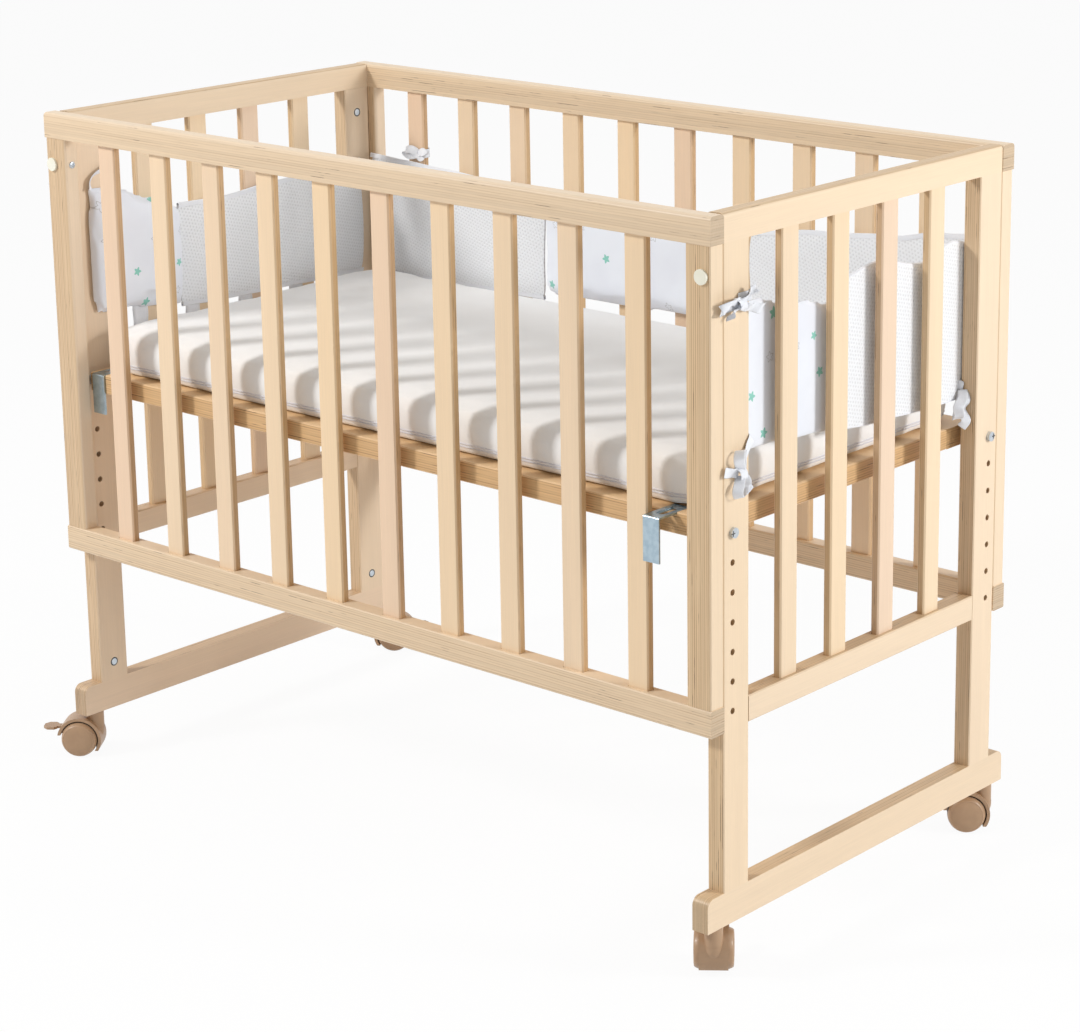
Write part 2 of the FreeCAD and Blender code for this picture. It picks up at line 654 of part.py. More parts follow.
# ---------------------------------------------------------------- fittings
studs, front_caps, back_caps = [], [], []
for side, sign in SIDES:
    x = minus(sign, LEG_MID_X)
    studs.append(cylinder(f"panel_stud_{side}", "-y", x, f"-{PANEL_IN_Y} + stud_in", STUD_Z,
                          "stud_radius", "stud_in + stud_out"))
    for caps, end, way in ((front_caps, "front", -1), (back_caps, "back", 1)):
        caps.append(cylinder(f"{end}_cap_{side}", toward(way, "y"), x, minus(way, FACE_Y), STUD_Z,
                             "cap_radius", "cap_height"))
keep(group("panel_studs", studs), group("front_caps", front_caps), group("back_caps", back_caps))


# ---------------------------------------------------------------- casters
WEB = "(wheel_space / 2 - hood_side_gap)"
HOOD_RADIUS = "(wheel_radius + hood_gap + hood_wall)"
LEVER_X = "(caster_trail + lever_pivot_x)"
LEVER_Z = "(wheel_radius + lever_pivot_z)"


def turn_out(obj, name, x, y):
    """Stand a caster's piece, made with its stem on the Z axis, at its corner and angle."""
    obj.Label = name
    place(obj, x, y, "0")
    obj.setExpression("Placement.Rotation.Angle", ex(name.rsplit("_", 1)[0] + "_angle"))
    return obj


def make_wheels(name):
    """Two wheels and the axle between them, turned as one piece."""
    body = new_body(name)
    profile = new_sketch(body, name + "_profile", "z", ("caster_trail", "0", "wheel_radius"))
    inner, outer = "wheel_space / 2", "(wheel_space / 2 + wheel_width)"
    half = [("0", outer), ("wheel_radius", outer), ("wheel_radius", inner), ("axle_radius", inner)]
    points = half + [(u, f"-{v}") for u, v in reversed(half)]
    corners = [V(val(u), val(v), 0) for u, v in points]
    for index, corner in enumerate(corners):
        profile.addGeometry(Part.LineSegment(corner, corners[(index + 1) % len(corners)]))
    for index, (u, v) in enumerate(points):
        profile.addConstraint(Sketcher.Constraint("Coincident", index, 2, (index + 1) % len(points), 1))
        constrain(profile, "DistanceX", -1, 1, index, 1, u)
        if val(v) > 0:
            constrain(profile, "DistanceY", -1, 1, index, 1, v)
        else:
            constrain(profile, "DistanceY", index, 1, -1, 1, v[1:])
    turned = body.newObject("PartDesign::Revolution", name + "_turned")
    turned.Profile = profile
    turned.ReferenceAxis = (profile, ["V_Axis"])
    turned.Angle = 360
    return body


def make_hood(name):
    """The hood: an arch over both wheels on a web between them, with the boss of the stem."""
    centre = ("caster_trail", "wheel_radius")
    disc = cylinder(name + "_disc", "+y", centre[0], "-hood_width / 2", centre[1],
                    HOOD_RADIUS, "hood_width")
    boss_top = "(caster_height - hood_top_gap)"
    boss = cylinder(name + "_boss", "-z", "0", "0", boss_top, "boss_radius", "boss_height")
    body = fuse(name + "_body", disc, boss)
    clear = "wheel_radius + hood_gap"
    wells = [cylinder(f"{name}_well_{side}", toward(sign, "y"), centre[0], minus(sign, WEB),
                      centre[1], clear, "hood_width") for side, sign in SIDES]
    wide = centred("2 * hood_width")
    far = f"2 * {HOOD_RADIUS}"
    below = block(name + "_below", centred(f"4 * {HOOD_RADIUS}"), wide, (f"hood_skirt - {far}", far))
    under_web = block(name + "_under_web", ("caster_trail - wheel_radius + 2 * hood_gap", far), wide,
                      (f"wheel_radius - 3 * axle_radius - {far}", far))
    behind = block(name + "_behind", ("caster_trail + 3 * axle_radius", far), wide,
                   (f"wheel_radius + 2 * axle_radius - {far}", far))
    slot = block(name + "_lever_slot", (f"{LEVER_X} - lever_hub_radius - hood_gap", far),
                 centred("(lever_width + 2 * hood_side_gap)"),
                 (f"{LEVER_Z} - lever_hub_radius - hood_gap", "2 * (lever_hub_radius + hood_gap)"))
    axle_hole = cylinder(name + "_axle_hole", "+y", centre[0], "-hood_width / 2", centre[1],
                         "axle_radius + axle_gap", "hood_width")
    stem_hole = cylinder(name + "_stem_hole", "-z", "0", "0", boss_top,
                         "stem_radius + axle_gap", "stem_down")
    return cut(name, body, *wells, below, under_web, behind, slot, axle_hole, stem_hole)


def make_lever(name):
    """The brake lever: a hub in the hood's slot, an arm and a blade for the foot."""
    hub = cylinder(name + "_hub", "+y", LEVER_X, "-lever_width / 2", LEVER_Z,
                   "lever_hub_radius", "lever_width")
    blade_x = f"(caster_trail + {HOOD_RADIUS} + hood_gap)"
    low = f"({LEVER_Z} - lever_thickness / 2)"
    arm = block(name + "_arm", (LEVER_X, f"{blade_x} - {LEVER_X} + lever_thickness"),
                centred("lever_width"), (low, "lever_thickness"))
    blade = board(name + "_blade", (blade_x, "lever_blade_length"), centred("lever_blade_width"),
                  (low, "lever_thickness"), [("Chamfer", "lever_blade_corner", ["z +x"]),
                                             ("Chamfer", "lever_thickness", ["z -x"])])
    return fuse(name, hub, arm, blade)


stems = []
for side, sign in SIDES:
    for end, way in ENDS:
        corner = f"caster_{end}_{side}"
        at = (minus(sign, STEM_X), minus(way, STEM_Y))
        stems.append(cylinder(f"{corner}_stem", "+z", *at, "caster_height - hood_top_gap - stem_down",
                              "stem_radius", "stem_down + hood_top_gap + stem_up"))
        for part, make in (("hood", make_hood), ("wheels", make_wheels), ("lever", make_lever)):
            keep(turn_out(make(f"{corner}_{part}"), f"{corner}_{part}", *at))
keep(group("caster_stems", stems))


# ---------------------------------------------------------------- mattress
def rounded_outline(half_x, half_y, radius, z):
    """A rectangle with round corners, centred on the Z axis."""
    corners = [(1, -1), (1, 1), (-1, 1), (-1, -1)]
    edges = []
    for index, (sx, sy) in enumerate(corners):
        centre = V(sx * (half_x - radius), sy * (half_y - radius), z)
        start = math.radians(90 * index - 90)
        ray = [V(math.cos(a), math.sin(a), 0) * radius + centre
               for a in (start, start + math.pi / 4, start + math.pi / 2)]
        edges.append(Part.Arc(*ray).toShape())
        nx, ny = corners[(index + 1) % 4]
        follow = V(nx * (half_x - radius), ny * (half_y - radius), z)
        turn = start + math.pi / 2
        ahead = V(math.cos(turn), math.sin(turn), 0) * radius + follow
        edges.append(Part.LineSegment(ray[2], ahead).toShape())
    return Part.Wire(edges)


# How far the mattress draws in from its widest outline, at shares of its height. Both are
# shares of the height.
MATTRESS_SHAPE = ((0, 0.26), (0.25, 0.02), (0.7, 0.06), (1, 1.1))


def make_mattress():
    half_x = val(f"{BASE_X} - mattress_end_gap")
    half_y = val(f"{BASE_Y} - mattress_side_gap")
    low = val(f"{BASE_TOP} + soft_gap")
    height, corner = val("mattress_height"), val("mattress_corner")
    sections = [rounded_outline(half_x - inset * height, half_y - inset * height,
                                corner - inset * height / 3, low + share * height)
                for share, inset in MATTRESS_SHAPE]
    mattress = doc.addObject("Part::Feature", "mattress")
    mattress.Shape = Part.makeLoft(sections, True, True)
    return mattress


keep(make_mattress())


# ---------------------------------------------------------------- bumper
# Each stretch is a list of (share of the side's length, bottom, top), the heights above the
# foot of the legs. A side runs from its front or left end to its back or right end.
BUMPER = {
    "left": ([(0, 438, 594), (0.10, 434, 590), (0.21, 431, 571), (0.315, 428, 551)],
             [(0.315, 428, 549), (0.46, 425, 547), (0.67, 423, 553), (0.855, 421, 558), (1, 420, 562)]),
    "back": ([(0, 419, 566), (0.07, 418, 563), (0.14, 418, 560), (0.235, 420, 555), (0.32, 421, 553)],
             [(0.32, 421, 553), (0.435, 423, 551), (0.545, 424, 547), (0.665, 425, 545)],
             [(0.665, 425, 545), (0.775, 424, 556), (0.885, 423, 563), (1, 421, 570)]),
    "right": ([(0, 428, 589), (0.06, 426, 584), (0.25, 422, 569), (0.405, 420, 558)],
              [(0.405, 420, 572), (0.57, 415, 582), (0.77, 411, 567), (0.905, 409, 580), (1, 410, 574)]),
}
BUMPER_BACK_END = f"({PANEL_IN_Y} - bumper_thickness - bumper_corner_gap)"
BUMPER_ENDS = {
    "left": (f"(bumper_left_setback - {PANEL_IN_Y})", BUMPER_BACK_END),
    "right": (f"(bumper_right_setback - {PANEL_IN_Y})", BUMPER_BACK_END),
    "back": (f"(bumper_end_gap - {LEG_IN_X})", f"({LEG_IN_X} - bumper_end_gap)"),
}


def bumper_section(along, low, high, at):
    """A pad's section: flat on the crib's side, bound edges, a full face inwards."""
    edge, full, draw = val("bumper_edge"), val("bumper_thickness"), val("bumper_draw")
    corners = [at(along, 0, low), at(along, 0, high), at(along, edge, high),
               at(along, full, high - draw), at(along, full, low + draw), at(along, edge, low)]
    return Part.makePolygon(corners + corners[:1])


def sewn(stretch, start, end):
    """The stretch's stations in their places, half a soft gap short of its neighbours."""
    half = val("soft_gap") / 2
    stations = [(start + share * (end - start), low, high) for share, low, high in stretch]
    (first, *first_edges), *middle, (last, *last_edges) = stations
    return [(first + half, *first_edges), *middle, (last - half, *last_edges)]


def make_bumper(side):
    wall_x = val(f"{LEG_IN_X} - soft_gap")
    wall_y = val(f"{PANEL_IN_Y} - soft_gap")
    foot = val(LEG_FOOT)
    places = {
        "left": lambda along, inward, up: V(-wall_x + inward, along, foot + up),
        "right": lambda along, inward, up: V(wall_x - inward, along, foot + up),
        "back": lambda along, inward, up: V(along, wall_y - inward, foot + up),
    }
    start, end = (val(place) for place in BUMPER_ENDS[side])
    pads = [Part.makeLoft([bumper_section(*station, places[side])
                           for station in sewn(stretch, start, end)], True, True)
            for stretch in BUMPER[side]]
    bumper = doc.addObject("Part::Feature", f"bumper_{side}")
    bumper.Shape = Part.makeCompound(pads)
    return bumper


for side in BUMPER:
    keep(make_bumper(side))


# ---------------------------------------------------------------- ribbon ties
def make_leg_tie(name, side, sign, end, way, up, bow):
    """A ribbon round three sides of a leg, with its knot and bow on the outer face."""
    height = f"({LEG_FOOT} + {up})"
    gap, thick = "soft_gap", "ribbon_thickness"
    x = span(sign, f"({LEG_IN_X} - {gap} - {thick})", f"(leg_thickness + 2 * {gap} + 2 * {thick})")
    y = span(way, f"({LEG_IN_Y} - {gap} - {thick})", f"(leg_width * 0.9 + {gap} + {thick})")
    z = (f"{height} - ribbon_width / 2", "ribbon_width")
    band = block(name + "_band", x, y, z)
    hollow = block(name + "_hollow", span(sign, f"({LEG_IN_X} - {gap})", f"(leg_thickness + 2 * {gap})"),
                   span(way, f"({LEG_IN_Y} - {gap})", "leg_width"), z)
    tie = cut(name + "_strap", band, hollow)
    solids = [tie]
    out = minus(sign, f"({END_X} + {gap} + {thick})")
    for piece, (along, rise, half_y, half_z) in bow.items():
        wide = val("ribbon_width")
        outline = [V(0, y * half_y, z * half_z) * wide for y, z in
                   ((-1, 0.5), (0, 1), (1, 0.5), (1, -0.5), (0, -1), (-1, -0.5), (-1, 0.5))]
        loop = doc.addObject("Part::Feature", f"{name}_{piece}")
        loop.Shape = Part.Face(Part.makePolygon(outline)).extrude(V(sign * val("bow_depth"), 0, 0))
        solids.append(place(loop, out, f"{minus(way, LEG_MID_Y)} + {along} * ribbon_width",
                            f"{height} + {rise} * ribbon_width"))
    return fuse(name, *solids)


# Each piece of a bow: place along the leg's width and up, and half its size in both, in
# widths of the ribbon.
UPPER_BOW = {"knot": (0, 0, 0.5, 0.5), "loop_front": (-1.35, 0.1, 1.25, 0.5),
             "loop_back": (1.4, 0.4, 1.35, 0.5)}
LOWER_BOW = {"knot": (0, 0.35, 0.5, 0.6), "loop_up": (0.15, 1.7, 0.5, 1.25),
             "tail_down": (-0.15, -1.15, 0.6, 1.4)}
keep(group("ribbon_ties", [
    make_leg_tie("tie_front_right_top", "right", 1, "front", -1, "tie_top_up", UPPER_BOW),
    make_leg_tie("tie_front_right_low", "right", 1, "front", -1, "tie_low_up", LOWER_BOW),
]))


# ---------------------------------------------------------------- check and write
doc.recompute()
for obj in doc.Objects:
    faults = {"Invalid", "Error"} & set(obj.State)
    if faults:
        raise RuntimeError(f"{obj.Name} did not compute: {faults}")
for obj in doc.Objects:
    if obj.TypeId == "PartDesign::Pocket" and obj.Shape.Volume > obj.BaseFeature.Shape.Volume - 1:
        raise RuntimeError(f"{obj.Name} cuts nothing")
os.makedirs("parts", exist_ok=True)
for node in NODES:
    if node.Shape.isNull() or not node.Shape.isValid():
        raise RuntimeError(f"{node.Label} has no valid shape")
    node.Shape.exportStep(f"parts/{node.Label}.step")
    print(f"{node.Label}: {len(node.Shape.Solids)} solids, {node.Shape.Volume / 1000:.1f} cm3")
print(f"{len(NODES)} nodes, hook travel {val(HOOK_TRAVEL):.2f} mm, top {val(LEG_TOP + ' + top_rail_height'):.1f} mm")
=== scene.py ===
# %% [markdown]
# # A bedside crib, dressed for a photograph
#
# The wooden crib itself comes ready from CAD: every board, bolt and caster is already a
# mesh in the right place. This lesson gives those boards their laminated wood, and models
# what CAD leaves plain: screws and wheels, the mattress, the padded bumper with its mesh,
# and the ribbons.

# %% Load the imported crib
import math

import bmesh
import bpy
from mathutils import Matrix, Vector
from mathutils.bvhtree import BVHTree


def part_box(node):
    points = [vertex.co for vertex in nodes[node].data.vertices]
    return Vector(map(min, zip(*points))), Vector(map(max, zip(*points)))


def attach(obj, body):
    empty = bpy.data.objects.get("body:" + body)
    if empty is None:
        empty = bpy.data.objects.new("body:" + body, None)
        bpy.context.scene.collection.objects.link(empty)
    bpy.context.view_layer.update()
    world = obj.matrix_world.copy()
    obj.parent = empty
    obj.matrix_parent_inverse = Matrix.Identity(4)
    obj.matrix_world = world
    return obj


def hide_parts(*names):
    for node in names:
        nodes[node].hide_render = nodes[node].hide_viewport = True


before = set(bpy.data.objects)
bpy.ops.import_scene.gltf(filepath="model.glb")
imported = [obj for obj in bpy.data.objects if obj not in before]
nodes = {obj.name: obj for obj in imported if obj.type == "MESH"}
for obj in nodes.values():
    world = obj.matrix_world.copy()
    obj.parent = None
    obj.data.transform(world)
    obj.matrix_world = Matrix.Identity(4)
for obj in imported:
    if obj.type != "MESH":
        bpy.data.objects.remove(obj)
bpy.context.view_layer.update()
MM = 0.001

# %% [markdown]
# ## Camera
# The photograph was taken with a long lens from the front right, a little above the rails.
# A camera matrix is built from the three directions that a photographer would name: where
# the lens looks, what is right and what is up. A small shift moves the crib up and to the
# right in the picture without turning the camera, as on a view camera.

# %% Place the camera
CAMERA_AT = Vector((2.1347, -2.2910, 1.2902))
CAMERA_TURN, CAMERA_DROP, CAMERA_ROLL = (math.radians(a) for a in (-50.309, 14.435, -0.269))
LENS, FILM_WIDTH, SHIFT = 97.74, 36, -0.12963

forward = Vector((-math.cos(CAMERA_TURN) * math.cos(CAMERA_DROP),
                  -math.sin(CAMERA_TURN) * math.cos(CAMERA_DROP), -math.sin(CAMERA_DROP)))
level = Vector((-math.sin(CAMERA_TURN), math.cos(CAMERA_TURN), 0))
upright = level.cross(forward)
right = math.cos(CAMERA_ROLL) * level + math.sin(CAMERA_ROLL) * upright
up = math.cos(CAMERA_ROLL) * upright - math.sin(CAMERA_ROLL) * level

camera = bpy.data.objects.new("camera", bpy.data.cameras.new("camera"))
bpy.context.scene.collection.objects.link(camera)
turned = Matrix((right, up, -forward)).transposed().to_4x4()
camera.matrix_world = Matrix.Translation(CAMERA_AT) @ turned
camera.data.lens, camera.data.sensor_width = LENS, FILM_WIDTH
camera.data.shift_x = camera.data.shift_y = SHIFT
bpy.context.scene.camera = camera
print("camera is", round(CAMERA_AT.length, 2), "m from the middle of the floor")

# %% [markdown]
# ## Shader expressions
# Materials are easier to read as formulas than as a list of nodes. This class wraps one
# socket, so that `1 - mask` or `grain * 0.1` adds the Math node that does it, and every
# other node comes from `node`, which takes its type, its settings and its inputs.

# %% Wrap a socket
class Wire:
    """A socket of a shader tree that can be calculated with."""

    def __init__(self, tree, socket=None):
        self.tree, self.socket = tree, socket

    def node(self, kind, settings=None, inputs=None, out=0):
        """Add a node: settings first, then values or wires for its input sockets."""
        made = self.tree.nodes.new("ShaderNode" + kind)
        for name, value in (settings or {}).items():
            if name == "stops":
                while len(made.color_ramp.elements) < len(value):
                    made.color_ramp.elements.new(1)
                for element, (place, colour) in zip(made.color_ramp.elements, value):
                    element.position, element.color = place, (*colour, 1)
            else:
                setattr(made, name, value)
        for key, value in (inputs or {}).items():
            if isinstance(value, Wire):
                self.tree.links.new(value.socket, made.inputs[key])
            else:
                made.inputs[key].default_value = value
        return Wire(self.tree, made.outputs[out] if made.outputs else None)

    def math(self, operation, *values):
        """One operation of the Math node on values or wires."""
        return self.node("Math", {"operation": operation}, dict(enumerate(values)))

    def __add__(self, other):
        return self.math("ADD", self, other)

    def __sub__(self, other):
        return self.math("SUBTRACT", self, other)

    def __rsub__(self, other):
        return self.math("SUBTRACT", other, self)

    def __mul__(self, other):
        return self.math("MULTIPLY", self, other)

    def __truediv__(self, other):
        return self.math("DIVIDE", self, other)

    def __gt__(self, other):
        return self.math("GREATER_THAN", self, other)

    def __lt__(self, other):
        return self.math("LESS_THAN", self, other)

    __radd__, __rmul__ = __add__, __mul__

    def between(self, low, high):
        """0 below low, 1 above high, and smooth between them."""
        return self.node("MapRange", {"interpolation_type": "SMOOTHSTEP"},
                         {"Value": self, "From Min": low, "From Max": high})

    def axes(self):
        """The X, Y and Z of a vector, as three wires."""
        split = self.node("SeparateXYZ", None, {0: self})
        return [Wire(self.tree, socket) for socket in split.socket.node.outputs]

    def vector(self, x, y, z):
        """Three values or wires as one vector."""
        return self.node("CombineXYZ", None, {0: x, 1: y, 2: z})

    def noise(self, x, y, z, detail=2):
        """Smooth noise from 0 to 1 at a place that may be stretched along any axis."""
        return self.node("TexNoise", None, {"Vector": self.vector(x, y, z), "Scale": 1,
                                            "Detail": detail})

    def chance(self, x, y=0, seed=0):
        """A random number from 0 to 1 that stays the same all over a cell."""
        return self.node("TexWhiteNoise", None, {"Vector": self.vector(x, y, seed)})

    def mix(self, low, high, blend="MIX"):
        """Two colours mixed by this value."""
        made = self.node("Mix", {"data_type": "RGBA", "blend_type": blend}, {0: self}, out=2)
        for key, colour in ((6, low), (7, high)):
            if isinstance(colour, Wire):
                self.tree.links.new(colour.socket, made.socket.node.inputs[key])
            else:
                made.socket.node.inputs[key].default_value = (*colour, 1)
        return made


# %% [markdown]
# A finish is a Principled shader with fixed values, plus the few sockets that vary over the
# surface. `finish` starts one and hands back a wire to write formulas with: the place of
# each point, which CAD and Blender both count in metres from the middle of the crib's floor.

# %% Start a finish
FACING, PLACE = 1, 3  # the outputs of Texture Coordinate for the normal and the place


def finish(name, **fixed):
    """A new material; fixed are plain values of its Principled shader."""
    material = bpy.data.materials.new(name)
    material.use_nodes = True
    shader = material.node_tree.nodes["Principled BSDF"]
    for socket, value in fixed.items():
        shader.inputs[socket.replace("_", " ")].default_value = value
    return material, shader, Wire(material.node_tree).node("TexCoord", out=PLACE)


def feed(shader, socket, wire):
    """Let a wire set one socket of a shader."""
    wire.tree.links.new(wire.socket, shader.inputs[socket])


def bump(shader, height, distance):
    """Raise the surface by a height wire, distance metres at 1."""
    raised = height.node("Bump", None, {"Strength": 1.0, "Distance": distance, "Height": height})
    feed(shader, "Normal", raised)


# %% [markdown]
# ## Laminated wood
# The boards are glued up from plies 2.6 mm thick. Where a face looks along the plies
# it is plain and pale, with a faint long grain. Where it cuts across them it shows one line
# for each ply, some of them dark with glue and broken into dashes, and the ends of the
# boards show the same lines darker. So the material needs to know two things: the axis the
# plies are stacked along, and the axis the grain runs along.

# %% The wood
PLAIN, PINK, GOLD = (0.80, 0.635, 0.455), (0.80, 0.605, 0.445), (0.81, 0.625, 0.415)
# the darker of these two colours is painted shade: the dark inside of a split between plies
GLUE, VOID_SHADE = (0.36, 0.195, 0.085), (0.13, 0.06, 0.03)
SAWN = (0.15, 0.22, 0.33)  # how much red, green and blue a face across the plies loses
PLY = 2.6 * MM


def laminated(name, stack, grain, pitch=None, tone=(1, 1, 1), cut_and_shade=1.0, streaks=0.6):
    """Wood with plies stacked along one axis and grain along another, X is 0 and Z is 2.

    pitch sets slats of a row apart, each with a tone of its own. tone tints the whole board,
    cut_and_shade is how much darker it is across the plies, and on the panel slats it also adds
    painted shade to their narrow sides; streaks is how dark the ply lines are.
    """
    wood, shader, place = finish(name, Coat_Weight=0.12, Coat_Roughness=0.3)
    c = place.axes()
    along, layer, side = c[grain], c[stack], c[3 - stack - grain]

    def stretched(per_metre_along, per_metre_across, detail=2):
        """Noise drawn out along the grain."""
        return place.noise(*[v * (per_metre_along if axis == grain else per_metre_across)
                             for axis, v in enumerate(c)], detail=detail)

    # 1 where the face cuts across the plies, and 1 on the board's ends
    facing = place.node("TexCoord", out=FACING).axes()
    across = 1 - facing[stack].math("ABSOLUTE", facing[stack]).between(0.55, 0.8)
    end = facing[grain].math("ABSOLUTE", facing[grain]).between(0.8, 0.9)

    # turn counts the plies, wandering a little, and a glue line lies at each whole number
    turn = layer / PLY + (place.noise(along * 3, side * 24, layer * 24) - 0.5) * 0.8
    step, nearest = turn.math("FLOOR", turn), turn.math("ROUND", turn)
    from_line = turn.math("ABSOLUTE", turn - nearest)
    fade = place.noise(along * 8, side * 8, nearest * 5.3, detail=3).between(0.30, 0.58)
    glued = 0.2 + 0.8 * place.chance(nearest, seed=grain)
    lines = (1 - from_line.between(0.06, 0.28)) * glued * fade * across
    # where a ply has split open, the gap is dented and painted near black: painted shade inside the
    # split
    split = place.noise(along * 20, side * 20, nearest * 7.1, detail=3).between(0.61, 0.68)
    voids_and_shade = (1 - from_line.between(0.02, 0.20)) * split * across

    fine, broad = stretched(14, 700, detail=4), stretched(2.5, 45, detail=3)
    fibres = stretched(30, 1500)
    ply_tone = place.chance(step, seed=3) * across

    # own is the tone of one slat of a row, or a slow change from board to board
    if pitch:
        row = (side if stack == 1 or grain == 0 else c[1]) / pitch
        own = place.chance(row.math("FLOOR", row), seed=7)
    else:
        own = place.noise(layer * 2.1, side * 2.3, stack + 0.5) * 1.6 - 0.3
    colour = own.node("ValToRGB", {"stops": [(0.05, PINK), (0.45, PLAIN), (0.95, GOLD)]}, {0: own})
    light = 0.88 + 0.05 * own + 0.12 * fine + 0.14 * broad - 0.09 * ply_tone - 0.24 * end
    light = light - 0.09 * fibres.between(0.58, 0.75) * (0.4 + across)
    # faces across the plies lose some red, green and blue; on the panel slats part of that loss is
    # painted shade
    tint = [light * (1 - share * cut_and_shade * across) * part for share, part in zip(SAWN, tone)]
    colour = (0 * light + 1).mix(colour, place.vector(*tint), "MULTIPLY")
    colour = (voids_and_shade * 0.8).mix((lines * streaks).mix(colour, GLUE), VOID_SHADE)
    feed(shader, "Base Color", colour)
    feed(shader, "Roughness", 0.40 + 0.14 * fine + 0.08 * lines)
    bump(shader, 0.5 * fine - 0.8 * lines - voids_and_shade, 0.14 * MM)
    return wood


X, Y, Z = 0, 1, 2
SLAT_PITCH = 85 * MM
BASE_TONE = (0.97, 0.85, 0.68)
upright_wood = laminated("wood_upright", stack=X, grain=Z, streaks=0.75)
long_wood = laminated("wood_long_rail", stack=Z, grain=X, cut_and_shade=0.42, streaks=0.5)
cross_wood = laminated("wood_cross_rail", stack=X, grain=Y)
# The panel slats are darker across the plies than their wood alone: painted shade on the narrow
# sides between slats.
panel_slat_wood = laminated("wood_panel_slat", stack=Y, grain=Z, pitch=SLAT_PITCH, cut_and_shade=1.5,
                            tone=(1.0, 0.965, 0.92))
end_slat_wood = laminated("wood_end_slat", stack=X, grain=Z, pitch=SLAT_PITCH, cut_and_shade=1.2)
base_long_wood = laminated("wood_base_long", stack=Z, grain=X, tone=BASE_TONE, streaks=0.8)
base_cross_wood = laminated("wood_base_cross", stack=Z, grain=Y, tone=BASE_TONE, streaks=0.8)
print("plies of", round(PLY / MM, 1), "mm, slats", round(SLAT_PITCH / MM), "mm apart")

# %% [markdown]
# Each board then takes the wood whose plies and grain run as its own do. The names of the
# CAD nodes say which board is which.

# %% Dress the boards
WOOD = {
    upright_wood: ("leg_", "front_stile", "back_stile"),
    long_wood: ("front_top", "front_bottom", "back_top", "back_bottom"),
    cross_wood: ("end_top", "end_bottom", "foot_rail"),
    panel_slat_wood: ("front_slats", "back_slats"),
    end_slat_wood: ("end_slats",),
    base_long_wood: ("base_front", "base_back"),
    base_cross_wood: ("base_end", "base_slats"),
}


def dress(material, *starts):
    """Give a finish to every CAD node whose name starts in one of these ways."""
    dressed = [name for name in nodes if name.startswith(starts)]
    for name in dressed:
        nodes[name].data.materials.clear()
        nodes[name].data.materials.append(material)
    print(material.name, "on", len(dressed), "nodes")


for wood, starts in WOOD.items():
    dress(wood, *starts)

# %% [markdown]
# ## Metal and plastic
# The hook plates are steel with a pale blue zinc plating, the bolts the same but greyer,
# the caps ivory plastic, and the casters a satin tan moulding. Moulded plastic is never
# quite even, so a slow noise changes its roughness and a fine one gives it its texture.

# %% The small finishes
def zinc(name, colour, cloud):
    """Plated metal, clouded with a second colour and brushed along the crib's depth."""
    plated, shader, place = finish(name, Metallic=1.0)
    x, y, z = place.axes()
    patches = place.noise(x * 160, y * 160, z * 160, detail=3)
    brushed = place.noise(x * 2200, y * 60, z * 2200)
    feed(shader, "Base Color", patches.between(0.3, 0.7).mix(colour, cloud))
    feed(shader, "Roughness", 0.20 + 0.16 * patches + 0.08 * brushed)
    bump(shader, brushed, 0.02 * MM)
    return plated


def moulded(name, colour, lighter, rough, coat=0.0):
    """Satin plastic with patches of a lighter colour; coat is the weight of its gloss."""
    plastic, shader, place = finish(name, Coat_Weight=coat, Coat_Roughness=0.2)
    x, y, z = place.axes()
    slow = place.noise(x * 60, y * 60, z * 60)
    fine = place.noise(x * 1800, y * 1800, z * 1800)
    feed(shader, "Base Color", slow.between(0.3, 0.7).mix(colour, lighter))
    feed(shader, "Roughness", rough + 0.10 * slow + 0.06 * fine)
    bump(shader, fine, 0.03 * MM)
    return plastic


plate_zinc = zinc("zinc_plate", (0.36, 0.47, 0.55), (0.46, 0.57, 0.64))
bolt_zinc = zinc("zinc_bolt", (0.50, 0.55, 0.60), (0.63, 0.67, 0.71))
# Nearly black steel for the bolt crosses and the holes round the nuts: painted shade for their
# hollows
recess_shade_steel = zinc("steel_painted_recess_shade", (0.07, 0.07, 0.07), (0.13, 0.13, 0.13))
ivory = moulded("ivory_cap", (0.84, 0.81, 0.66), (0.86, 0.84, 0.72), 0.34)
tan = moulded("tan_caster", (0.42, 0.265, 0.155), (0.46, 0.295, 0.175), 0.34, coat=0.15)
tread = moulded("soft_tread", (0.13, 0.10, 0.085), (0.17, 0.135, 0.11), 0.55)

dress(plate_zinc, "hook_left", "hook_right")
dress(bolt_zinc, "hook_screws", "base_bolts", "panel_studs", "caster_stems")
dress(ivory, "front_caps", "back_caps")
dress(tan, "caster_front", "caster_back")

# %% [markdown]
# ## Pieces
# Everything that Blender adds is a mesh of points and faces. Each one rides on a body of the
# CAD model, so that it turns and slides with it.
# What is round, such as a screw or a wheel, is a profile turned about an axis.

# %% Helpers that make a piece
CREASE = 38  # degrees at which an edge of a piece stays sharp


def piece(name, points, faces, material, body, slot):
    """A mesh piece that rides on a CAD body, in the finish it is given; slot is not used."""
    mesh = bpy.data.meshes.new(name)
    mesh.from_pydata([tuple(p) for p in points], [], faces)
    form = bmesh.new()
    form.from_mesh(mesh)
    bmesh.ops.recalc_face_normals(form, faces=form.faces[:])
    form.to_mesh(mesh)
    form.free()
    made = bpy.data.objects.new(name, mesh)
    bpy.context.scene.collection.objects.link(made)
    mesh.materials.append(material)
    for polygon in mesh.polygons:
        polygon.use_smooth = True
    mesh.set_sharp_from_angle(angle=math.radians(CREASE))
    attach(made, body)
    return made


def joined(*parts):
    """One list of points and one of faces, from several (points, faces)."""
    points, faces = [], []
    for more, rings in parts:
        faces += [[i + len(points) for i in ring] for ring in rings]
        points += more
    return points, faces


